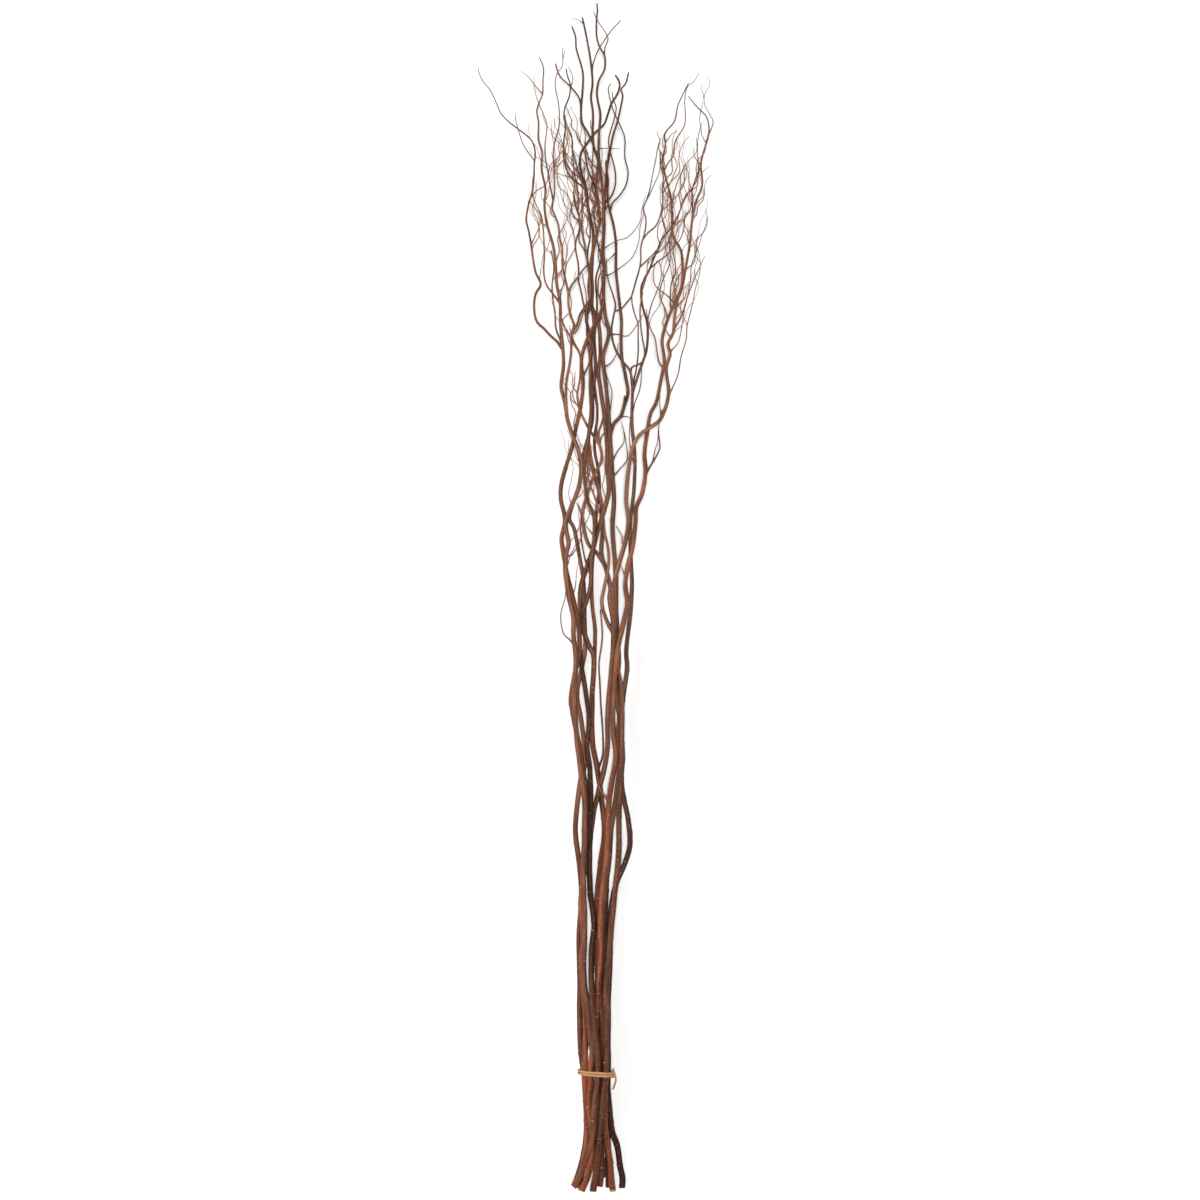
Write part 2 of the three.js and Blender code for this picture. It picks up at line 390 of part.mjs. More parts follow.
// Points at even steps along a smooth curve through the route, seen from above.
function sampleRoute(route) {
  const curve = new THREE.CatmullRomCurve3(route.map(([x, y]) => new THREE.Vector3(x, y, 0)));
  const spans = route.length - 1;
  const points = [];
  for (let span = 0; span < spans; span += 1) {
    const [from, to] = [route[span], route[span + 1]];
    const steps = Math.ceil(Math.hypot(to[0] - from[0], to[1] - from[1]) / STEP);
    for (let step = 0; step < steps; step += 1) {
      const { x, y } = curve.getPoint((span + step / steps) / spans);
      points.push([x, y]);
    }
  }
  points.push(route[spans]);
  return points;
}

function nearestPoint(points, [x, y]) {
  let best = 0;
  let least = Infinity;
  points.forEach((point, index) => {
    const away = (point[0] - x) ** 2 + (point[1] - y) ** 2;
    if (away < least) {
      least = away;
      best = index;
    }
  });
  return best;
}

// The height of a stem at a point, from its heights at HEIGHT_ROWS.
function stemHeight(heights, y) {
  const row = MIDDLE_ROW - y / GRID;
  const last = HEIGHT_ROWS.length - 1;
  if (row >= HEIGHT_ROWS[0]) return heights[0];
  for (let index = 0; index < last; index += 1) {
    const [low, high] = [HEIGHT_ROWS[index], HEIGHT_ROWS[index + 1]];
    if (row >= high) {
      const part = (low - row) / (low - high);
      const eased = part * part * (3 - 2 * part);
      return lerp(heights[index], heights[index + 1], eased);
    }
  }
  return heights[last];
}

function makeStem(branch, name) {
  const [rootRadius, tipRadius, heights, text] = branch;
  const plan = sampleRoute(readRoute(text));
  const last = plan.length - 1;
  return {
    name,
    parent: null,
    fork: 0,
    plan,
    start: plan.map((point) => stemHeight(heights, point[1])),
    radius: plan.map((_, i) => lerp(rootRadius, tipRadius, (i / last) ** STEM_TAPER)
      * (1 + BUTT_SWELL * Math.exp((-i * STEP) / BUTT_REACH))),
  };
}

function makeSide(parent, rootRadius, tipRadius, rise, route, name) {
  const fork = nearestPoint(parent.plan, route[0]);
  const plan = sampleRoute([parent.plan[fork], ...route.slice(1)]);
  const last = plan.length - 1;
  const widest = Math.min(rootRadius, parent.radius[fork] * SLIMMER);
  return {
    name,
    parent,
    fork,
    plan,
    start: plan.map((_, i) => parent.start[fork] + rise * (i / last)),
    radius: plan.map((_, i) => lerp(widest, tipRadius, (i / last) ** SIDE_TAPER)),
  };
}

// A twig leaves its shoot to one side, wanders, and turns back along the shoot.
function twigRoute(parent, where, side, random) {
  const start = Math.round(where * (parent.plan.length - 1));
  const near = 8;
  const [ax, ay] = parent.plan[Math.max(start - near, 0)];
  const [bx, by] = parent.plan[Math.min(start + near, parent.plan.length - 1)];
  const along = Math.atan2(by - ay, bx - ax);
  const turn = side * lerp(TWIG_TURN[0], TWIG_TURN[1], random());
  const length = lerp(TWIG_LENGTH[0], TWIG_LENGTH[1], random()) * (1.15 - 0.5 * where);
  const phase = random() * Math.PI * 2;
  const stride = length / TWIG_POINTS;
  const route = [parent.plan[start]];
  for (let k = 1; k <= TWIG_POINTS; k += 1) {
    const wander = TWIG_WANDER * Math.sin(phase + k * 1.9);
    const heading = along + turn * (1.1 - (0.9 * k) / TWIG_POINTS) + wander;
    const [x, y] = route[k - 1];
    route.push([x + Math.cos(heading) * stride, y + Math.sin(heading) * stride]);
  }
  return route;
}

function isInTwigRooms(route) {
  return route.every(([x, y]) => {
    const column = MIDDLE_COLUMN + x / GRID;
    const row = MIDDLE_ROW - y / GRID;
    return TWIG_ROOMS.some(([top, bottom, left, right]) => (
      row > top && row < bottom && column > left && column < right));
  });
}

// The first way for a twig that keeps to the twigs' rooms, if any does.
function makeTwig(carrier, least, most, random, name) {
  for (let n = 0; n < TWIG_TRIES; n += 1) {
    const where = lerp(least, most, random());
    const route = twigRoute(carrier, where, random() > 0.5 ? 1 : -1, random);
    const rise = lerp(TWIG_RISE[0], TWIG_RISE[1], random());
    if (isInTwigRooms(route)) {
      const twig = makeSide(carrier, TWIG_RADIUS[0], TWIG_RADIUS[1], rise, route, name);
      twig.fine = true;
      return [twig];
    }
  }
  return [];
}

function makeShoots() {
  const shoots = [];
  for (const { name, stem, sides } of BRANCHES) {
    const own = [makeStem(stem, name)];
    for (const [carrier, rootRadius, tipRadius, rise, text] of sides) {
      own.push(makeSide(own[carrier], rootRadius, tipRadius, rise, readRoute(text), name));
    }
    const random = seeded(name.charCodeAt(name.length - 1) * 7919);
    for (const [, carrier, count, least, most] of TWIGS.filter((row) => row[0] === name)) {
      for (let k = 0; k < count; k += 1) own.push(...makeTwig(own[carrier], least, most, random, name));
    }
    shoots.push(...own);
  }
  return shoots;
}

// ---- Settling -------------------------------------------------------------------------------------
//
// Seen from above the shoots stay on their routes. Their heights are moved, a little at a time and
// smoothly along each shoot, until no two barks are nearer than GAP and nothing is under the floor.

function numberPoints(shoots) {
  let total = 0;
  for (const shoot of shoots) {
    shoot.first = total;
    total += shoot.plan.length;
  }
  return total;
}

function restHeights(shoots, floor) {
  const rests = [];
  for (const [name, index, row] of RESTS) {
    const shoot = shoots.filter((one) => one.name === name)[index];
    const y = (MIDDLE_ROW - row) * GRID;
    let at = 0;
    shoot.plan.forEach((point, i) => {
      if (Math.abs(point[1] - y) < Math.abs(shoot.plan[at][1] - y)) at = i;
    });
    shoot.rest = at;
    const height = shoot.radius[at] * REST_SINK;
    shoot.plan.forEach((_, i) => {
      const away = Math.abs(i - at);
      if (away <= REST_HALF) rests.push([shoot.first + i, height]);
      const part = Math.min(away / REST_REACH, 1) ** 2;
      floor[shoot.first + i] = lerp(height, floor[shoot.first + i], part);
    });
  }
  return rests;
}

function nearPairs(shoots, total) {
  const cell = 12;
  const cells = new Map();
  const x = new Float64Array(total);
  const y = new Float64Array(total);
  const r = new Float64Array(total);
  const owner = new Int32Array(total);
  shoots.forEach((shoot, number) => shoot.plan.forEach((point, i) => {
    const at = shoot.first + i;
    [x[at], y[at]] = point;
    r[at] = shoot.radius[i];
    owner[at] = number;
    const key = `${Math.floor(x[at] / cell)},${Math.floor(y[at] / cell)}`;
    if (!cells.has(key)) cells.set(key, []);
    cells.get(key).push(at);
  }));

  const pairs = [];
  for (const key of cells.keys()) {
    const [cx, cy] = key.split(',').map(Number);
    const around = [];
    for (let dx = -1; dx <= 1; dx += 1) {
      for (let dy = -1; dy <= 1; dy += 1) {
        around.push(...(cells.get(`${cx + dx},${cy + dy}`) ?? []));
      }
    }
    for (const i of cells.get(key)) {
      for (const j of around) {
        if (owner[i] >= owner[j]) continue;
        const reach = r[i] + r[j] + GAP;
        const away = Math.hypot(x[i] - x[j], y[i] - y[j]);
        if (away >= reach || growTogether(shoots, owner, i, j, reach)) continue;
        pairs.push({ i, j, need: Math.sqrt(reach * reach - away * away) });
      }
    }
  }
  pairs.sort((a, b) => owner[a.i] - owner[b.i] || owner[a.j] - owner[b.j] || a.i - b.i || a.j - b.j);
  return { pairs, owner, r };
}

// Two shoots of one stem are free to meet near the fork that joins them.
function growTogether(shoots, owner, i, j, reach) {
  const [a, b] = [shoots[owner[i]], shoots[owner[j]]];
  if (a.name !== b.name) return false;
  const free = Math.ceil((reach * 3) / STEP) + 2;
  const fromRootA = i - a.first;
  const fromRootB = j - b.first;
  if (b.parent === a) return fromRootB < free;
  if (a.parent === b) return fromRootA < free;
  return fromRootA < free && fromRootB < free;
}

// One shoot passes over the other for the whole of each stretch where they lie close.
function chooseSides(pairs, owner, height) {
  let start = 0;
  for (let end = 1; end <= pairs.length; end += 1) {
    const [before, after] = [pairs[end - 1], pairs[end]];
    const same = after && owner[before.i] === owner[after.i] && owner[before.j] === owner[after.j]
      && after.i - before.i < CROSSING_BREAK;
    if (same) continue;
    let sum = 0;
    for (let k = start; k < end; k += 1) sum += height[pairs[k].i] - height[pairs[k].j];
    for (let k = start; k < end; k += 1) pairs[k].side = sum < 0 ? -1 : 1;
    start = end;
  }
}

function settle(shoots) {
  const total = numberPoints(shoots);
  const { pairs, owner, r } = nearPairs(shoots, total);
  const first = new Float64Array(total);
  const floor = new Float64Array(total);
  const before = new Int32Array(total);
  const after = new Int32Array(total);
  for (const shoot of shoots) {
    shoot.plan.forEach((point, i) => {
      const at = shoot.first + i;
      const row = MIDDLE_ROW - point[1] / GRID;
      const tied = Math.exp(-(((row - TIE_ROWS[1]) / TIE_REACH) ** 2));
      floor[at] = shoot.radius[i] + OFF_FLOOR + tied * (2 * TWINE_RADIUS + TWINE_GAP + OFF_FLOOR);
      first[at] = shoot.start[i];
      before[at] = Math.max(at - 1, shoot.first);
      after[at] = Math.min(at + 1, shoot.first + shoot.plan.length - 1);
    });
  }
  const rests = restHeights(shoots, floor);
  const forks = shoots.filter((shoot) => shoot.parent);
  chooseSides(pairs, owner, first);

  const moved = new Float64Array(total);
  const push = new Float64Array(total);
  const count = new Int32Array(total);
  const smooth = new Float64Array(total);
  const rounds = SETTLE_ROUNDS + FIRM_ROUNDS;
  for (let round = 0; round < rounds; round += 1) {
    push.fill(0);
    count.fill(0);
    for (const { i, j, need, side } of pairs) {
      const short = need - side * (first[i] + moved[i] - first[j] - moved[j]);
      if (short <= 0) continue;
      const share = (r[j] * r[j]) / (r[i] * r[i] + r[j] * r[j]);
      push[i] += side * short * share;
      push[j] -= side * short * (1 - share);
      count[i] += 1;
      count[j] += 1;
    }
    for (let at = 0; at < total; at += 1) {
      if (count[at]) moved[at] += (PUSH * push[at]) / count[at];
      moved[at] = Math.max(moved[at], floor[at] - first[at]);
    }
    for (const [at, height] of rests) moved[at] = height - first[at];
    const firm = Math.max(round - SETTLE_ROUNDS, 0) / FIRM_ROUNDS;
    const blend = SMOOTHING * (1 - firm);
    for (let at = 0; at < total; at += 1) {
      smooth[at] = lerp(moved[at], (moved[before[at]] + moved[after[at]]) / 2, blend);
    }
    moved.set(smooth);
    for (const shoot of forks) moved[shoot.first] = moved[shoot.parent.first + shoot.fork];
  }
  for (let at = 0; at < total; at += 1) moved[at] = Math.max(moved[at], floor[at] - first[at]);
  for (const [at, height] of rests) moved[at] = height - first[at];
  for (const shoot of forks) moved[shoot.first] = moved[shoot.parent.first + shoot.fork];

  for (const shoot of shoots) {
    shoot.height = shoot.plan.map((_, i) => first[shoot.first + i] + moved[shoot.first + i]);
    shoot.clear = Infinity;
  }
  for (const { i, j, need, side } of pairs) {
    const [a, b] = [shoots[owner[i]], shoots[owner[j]]];
    const apart = side * (a.height[i - a.first] - b.height[j - b.first]);
    const reach = r[i] + r[j] + GAP;
    const flat = reach * reach - need * need;
    const gap = Math.sqrt(flat + Math.max(apart, 0) ** 2) - r[i] - r[j];
    if (a.name === b.name) continue;
    a.clear = Math.min(a.clear, gap);
    b.clear = Math.min(b.clear, gap);
  }
  return shoots;
}

// ---- Solids ---------------------------------------------------------------------------------------

// The points that a straight-edged copy of the curve needs, by halving it where it bends away most.
function keptPoints(points, forced) {
  const kept = new Set([0, points.length - 1, ...forced]);
  const ends = [...kept].sort((a, b) => a - b);
  const spans = ends.slice(1).map((to, k) => [ends[k], to]);
  const line = new THREE.Line3();
  const near = new THREE.Vector3();
  while (spans.length) {
    const [from, to] = spans.pop();
    line.set(points[from], points[to]);
    let worst = from;
    let furthest = CHORD_ERROR;
    for (let k = from + 1; k < to; k += 1) {
      const off = line.closestPointToPoint(points[k], true, near).distanceTo(points[k]);
      if (off > furthest) {
        furthest = off;
        worst = k;
      }
    }
    if (worst === from) continue;
    kept.add(worst);
    spans.push([from, worst], [worst, to]);
  }
  return [...kept].sort((a, b) => a - b);
}

// A closed tube of straight facets along the points, with its own radius at each point.
function facetedTube(points, radii, sides) {
  const vertices = [];
  const faces = [];
  const tangent = new THREE.Vector3();
  const normal = new THREE.Vector3(0, 0, 1);
  const binormal = new THREE.Vector3();
  points.forEach((point, ring) => {
    const ahead = points[Math.min(ring + 1, points.length - 1)];
    const behind = points[Math.max(ring - 1, 0)];
    tangent.subVectors(ahead, behind).normalize();
    normal.addScaledVector(tangent, -normal.dot(tangent)).normalize();
    binormal.crossVectors(tangent, normal);
    for (let side = 0; side < sides; side += 1) {
      const angle = (side / sides) * Math.PI * 2;
      vertices.push(point.clone()
        .addScaledVector(normal, radii[ring] * Math.cos(angle))
        .addScaledVector(binormal, radii[ring] * Math.sin(angle)));
    }
    if (!ring) return;
    const [low, high] = [(ring - 1) * sides, ring * sides];
    for (let side = 0; side < sides; side += 1) {
      const next = (side + 1) % sides;
      faces.push([low + side, low + next, high + next], [low + side, high + next, high + side]);
    }
  });
  const top = (points.length - 1) * sides;
  for (let side = 1; side < sides - 1; side += 1) {
    faces.push([0, side + 1, side], [top, top + side, top + side + 1]);
  }
  return toSolid(vertices, faces);
}

function toSolid(vertices, faces) {
  return new wasm.Manifold(new wasm.Mesh({
    numProp: 3,
    vertProperties: new Float32Array(vertices.flatMap((v) => [v.x, v.y, v.z])),
    triVerts: new Uint32Array(faces.flat()),
  }));
}

function geometryToSolid(geometry) {
  const bare = geometry.clone().deleteAttribute('normal').deleteAttribute('uv');
  const merged = mergeVertices(bare);
  return new wasm.Manifold(new wasm.Mesh({
    numProp: 3,
    vertProperties: new Float32Array(merged.attributes.position.array),
    triVerts: new Uint32Array(merged.index.array),
  }));
}

function toGeometry(solid) {
  const { numProp, vertProperties, triVerts } = solid.getMesh();
  const position = new Float32Array((vertProperties.length / numProp) * 3);
  for (let v = 0; v < position.length / 3; v += 1) {
    position.set(vertProperties.subarray(v * numProp, v * numProp + 3), v * 3);
  }
  const geometry = new THREE.BufferGeometry();
  geometry.setAttribute('position', new THREE.BufferAttribute(position, 3));
  geometry.setIndex([...triVerts]);
  geometry.computeVertexNormals();
  return geometry;
}

function shootSolid(shoot) {
  const points = shoot.plan.map(([x, y], i) => new THREE.Vector3(x, y, shoot.height[i]));
  const forced = shoot.rest === undefined ? [] : [shoot.rest - REST_HALF, shoot.rest + REST_HALF];
  const kept = keptPoints(points, forced);
  const thickest = shoot.radius[0];
  const sides = 3 + (thickest > FOUR_SIDED) + (thickest > FIVE_SIDED);
  return facetedTube(kept.map((k) => points[k]), kept.map((k) => shoot.radius[k]), sides);
}

// Everything under the surface that the bundle lies on.
function underFloor() {
  const [width, depth] = [2000, 20];
  const slab = new THREE.BoxGeometry(width, width, depth);
  slab.translate(0, 0, -depth / 2);
  return geometryToSolid(slab);
}

function branchSolid(shoots, floorBlock) {
  let solid = shootSolid(shoots[0]);
  for (const shoot of shoots.slice(1)) solid = solid.add(shootSolid(shoot));
  solid = solid.subtract(floorBlock);
  const pieces = solid.decompose();
  return pieces.reduce((a, b) => (a.volume() > b.volume() ? a : b));
}

// ---- The twine ------------------------------------------------------------------------------------

// The shortest loop round the stems at the tie, seen along the bundle, as x and z.
function loopRoundStems(stems) {
  const corners = [];
  const count = 24;
  for (const stem of stems) {
    stem.plan.forEach(([x, y], i) => {
      const row = MIDDLE_ROW - y / GRID;
      if (row < TIE_ROWS[0] - TIE_BAND || row > TIE_ROWS[1] + TIE_BAND) return;
      const away = (stem.radius[i] + TWINE_RADIUS + TWINE_GAP) / Math.cos(Math.PI / count);
      for (let k = 0; k < count; k += 1) {
        const angle = (k / count) * Math.PI * 2;
        corners.push([x + away * Math.cos(angle), stem.height[i] + away * Math.sin(angle)]);
      }
    });
  }
  corners.sort((a, b) => a[0] - b[0] || a[1] - b[1]);
  const half = (list) => {
    const chain = [];
    for (const point of list) {
      while (chain.length > 1) {
        const [a, b] = chain.slice(-2);
        const turn = (b[0] - a[0]) * (point[1] - a[1]) - (b[1] - a[1]) * (point[0] - a[0]);
        if (turn > 0) break;
        chain.pop();
      }
      chain.push(point);
    }
    return chain.slice(0, -1);
  };
  return [...half(corners), ...half([...corners].reverse())];
}

// Points at even steps round the loop, from its rightmost point.
function evenLoop(loop, count) {
  const start = loop.reduce((best, point, i) => (point[0] > loop[best][0] ? i : best), 0);
  const turned = [...loop.slice(start), ...loop.slice(0, start), loop[start]];
  const lengths = [0];
  for (let k = 1; k < turned.length; k += 1) {
    const [a, b] = [turned[k - 1], turned[k]];
    lengths.push(lengths[k - 1] + Math.hypot(b[0] - a[0], b[1] - a[1]));
  }
  const whole = lengths[lengths.length - 1];
  const points = [];
  let k = 1;
  for (let n = 0; n < count; n += 1) {
    const at = (whole * n) / count;
    while (lengths[k] < at) k += 1;
    const part = (at - lengths[k - 1]) / (lengths[k] - lengths[k - 1]);
    points.push([lerp(turned[k - 1][0], turned[k][0], part), lerp(turned[k - 1][1], turned[k][1], part)]);
  }
  return points;
}

function tieSolid(stems) {
  const steps = 30;
  const loop = evenLoop(loopRoundStems(stems), steps);
  const [upper, lower] = TIE_ROWS.map((row) => (MIDDLE_ROW - row) * GRID);
  const turns = [];
  for (let n = 0; n <= 2 * steps; n += 1) {
    const [x, z] = loop[n % steps];
    turns.push(new THREE.Vector3(x, lerp(upper, lower, n / (2 * steps)) - TIE_SLOPE * x, z));
  }
  const [knotX, knotZ] = loop[0];
  const knotY = (upper + lower) / 2 - TIE_SLOPE * knotX;
  const at = (x, y, z) => new THREE.Vector3(knotX + x, knotY + y, knotZ + z);
  // The knot: a small overhand turn on the right, with a short end up and a loop that tucks behind.
  const knot = [at(-0.4, 4, 2), at(1.6, 2, 3.2), at(2.9, -0.6, 1.6), at(2.4, -2.6, -1.2),
    at(0.4, -3.4, -2.6)];
  const shortEnd = [at(1.2, 0.5, 2), at(1.9, 3, 3.1), at(1.5, 5.5, 3.2), at(0.6, 8, 2.6)];
  const tail = [at(1.4, 0, 0.5), at(3.8, -3.2, -0.6), at(4.8, -7.5, -3), at(4.4, -12.5, -6.5),
    at(2.8, -18, -9.5), at(0.8, -23.5, -11.2)];
  const cord = (points, samples, radius, sides) => {
    const path = samples ? new THREE.CatmullRomCurve3(points).getPoints(samples) : points;
    return facetedTube(path, path.map(() => radius), sides);
  };
  return cord(turns, 0, TWINE_RADIUS, 6)
    .add(cord(knot, 10, TWINE_RADIUS * 1.15, 6))
    .add(cord(shortEnd, 6, TWINE_RADIUS * 0.7, 5))
    .add(cord(tail, 12, TWINE_RADIUS * 0.75, 5));
}

// ---- The bundle -----------------------------------------------------------------------------------

// A fine twig that finds no room is left out, and the rest settle again without it.
const roomy = settle(makeShoots()).filter((shoot) => !shoot.fine || shoot.clear > TWIG_CLEAR);
const shoots = settle(roomy);
const floorBlock = underFloor();
const bundle = new THREE.Group();

function addPiece(name, solid, color, roughness) {
  const material = new THREE.MeshStandardMaterial({ color, roughness, metalness: 0 });
  const mesh = new THREE.Mesh(toGeometry(solid), material);
  mesh.name = name;
  bundle.add(mesh);
}

for (const { name, bark } of BRANCHES) {
  const own = shoots.filter((shoot) => shoot.name === name);
  addPiece(name, branchSolid(own, floorBlock), bark, 0.7);
}

const stems = shoots.filter((shoot) => !shoot.parent);
addPiece('twine_tie', tieSolid(stems), 0xb99a6c, 0.95);

export default bundle;
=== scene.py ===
"""The finished look of a tied bundle of dried curly willow, lying on a pale floor.

Lengths in the route tables and in the growing code are millimetres, in the frame of the part:
+Z is up from the floor, and +Y runs from the cut ends to the tips. Meshes are made in metres.
"""

import functools
import json
import math
from collections import namedtuple

import bpy
import numpy as np
from bpy.props import FloatProperty, FloatVectorProperty, IntProperty, PointerProperty
from bpy.types import Operator, Panel, PropertyGroup
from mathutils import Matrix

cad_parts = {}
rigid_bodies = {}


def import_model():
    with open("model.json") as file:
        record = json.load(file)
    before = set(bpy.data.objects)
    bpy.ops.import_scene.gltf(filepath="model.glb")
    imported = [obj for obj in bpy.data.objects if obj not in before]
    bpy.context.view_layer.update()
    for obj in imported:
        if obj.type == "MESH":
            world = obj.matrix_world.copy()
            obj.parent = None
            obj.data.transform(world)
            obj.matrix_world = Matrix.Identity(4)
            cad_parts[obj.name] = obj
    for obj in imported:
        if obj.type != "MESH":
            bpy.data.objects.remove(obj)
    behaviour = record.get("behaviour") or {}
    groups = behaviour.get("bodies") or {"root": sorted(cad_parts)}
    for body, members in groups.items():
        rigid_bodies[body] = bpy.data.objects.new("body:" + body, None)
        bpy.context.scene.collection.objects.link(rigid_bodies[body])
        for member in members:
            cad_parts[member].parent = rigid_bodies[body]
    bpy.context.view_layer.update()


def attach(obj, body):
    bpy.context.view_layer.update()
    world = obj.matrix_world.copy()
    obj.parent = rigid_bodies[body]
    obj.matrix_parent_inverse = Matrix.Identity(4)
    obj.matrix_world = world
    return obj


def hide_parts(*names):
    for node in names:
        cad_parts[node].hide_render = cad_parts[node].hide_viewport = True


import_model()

bl_info = {
    "name": "Curly willow bundle",
    "version": (1, 0, 0),
    "blender": (4, 5, 0),
    "location": "3D View > Sidebar > Willow",
    "description": "Grows ten dried curly willow branches, ties them and lays them on a floor",
    "category": "Object",
}

BODY = "root"
MM = 0.001

# ---- Routes of the shoots --------------------------------------------------------------------------
#
# The routes are column,row pairs on a squared grid. A stem has its radius at the cut end and at the
# tip, its heights at HEIGHT_ROWS, and its route. A side shoot has its branch, the number of the shoot
# that carries it (the stem is 0), its radius at the root and at the tip, how much higher its tip is
# than its root, and its route.

GRID = 1.5                # side of a square of the grid
MIDDLE_COLUMN = 595       # where X is 0
MIDDLE_ROW = 599.4        # where Y is 0
HEIGHT_ROWS = (1190, 1073, 860, 655, 540, 450, 300, 150, 0)

STEP = 3                  # the most from one point of a shoot to the next
GAP = 1.7                 # between two barks, which the settling aims at
STEM_TAPER = 2.2          # power by which a stem thins toward its tip
SIDE_TAPER = 1.3
BUTT_SWELL = 0.13         # a stem is thicker by this share at its cut end,
BUTT_REACH = 400          # and by less and less over this length
SLIMMER = 0.95            # a side shoot's root has at most this share of its carrier's radius
OFF_FLOOR = 0.9           # least gap below a shoot that doesn't rest on the floor
REST_SINK = 0.7           # height of a resting shoot's middle, as a share of its radius
REST_HALF = 2             # points on each side of a resting spot that lie as low as it
REST_REACH = 16           # points on each side that may lie lower than the rest of the shoot

TWINE_RADIUS = 1.75
TWINE_GAP = 0.9           # between the twine and the bark
TIE_ROWS = (1071.6, 1076.8)    # rows of the two turns
TIE_SLOPE = 0.07          # how much the turns slant
TIE_REACH = 48            # rows from the tie in which the stems are raised to make room for it
TIE_BAND = 4              # rows past the turns that they still clear

SETTLE_ROUNDS = 420
FIRM_ROUNDS = 60          # the last rounds, in which the smoothing fades out
PUSH = 1.2                # share of what is missing that one round moves two shoots apart
SMOOTHING = 0.5
CROSSING_BREAK = 5        # points between two stretches where the same two shoots lie close
FORK_REACH = 3            # two joined shoots may touch this many times their reach from the fork,
FORK_POINTS = 2           # and this many points more

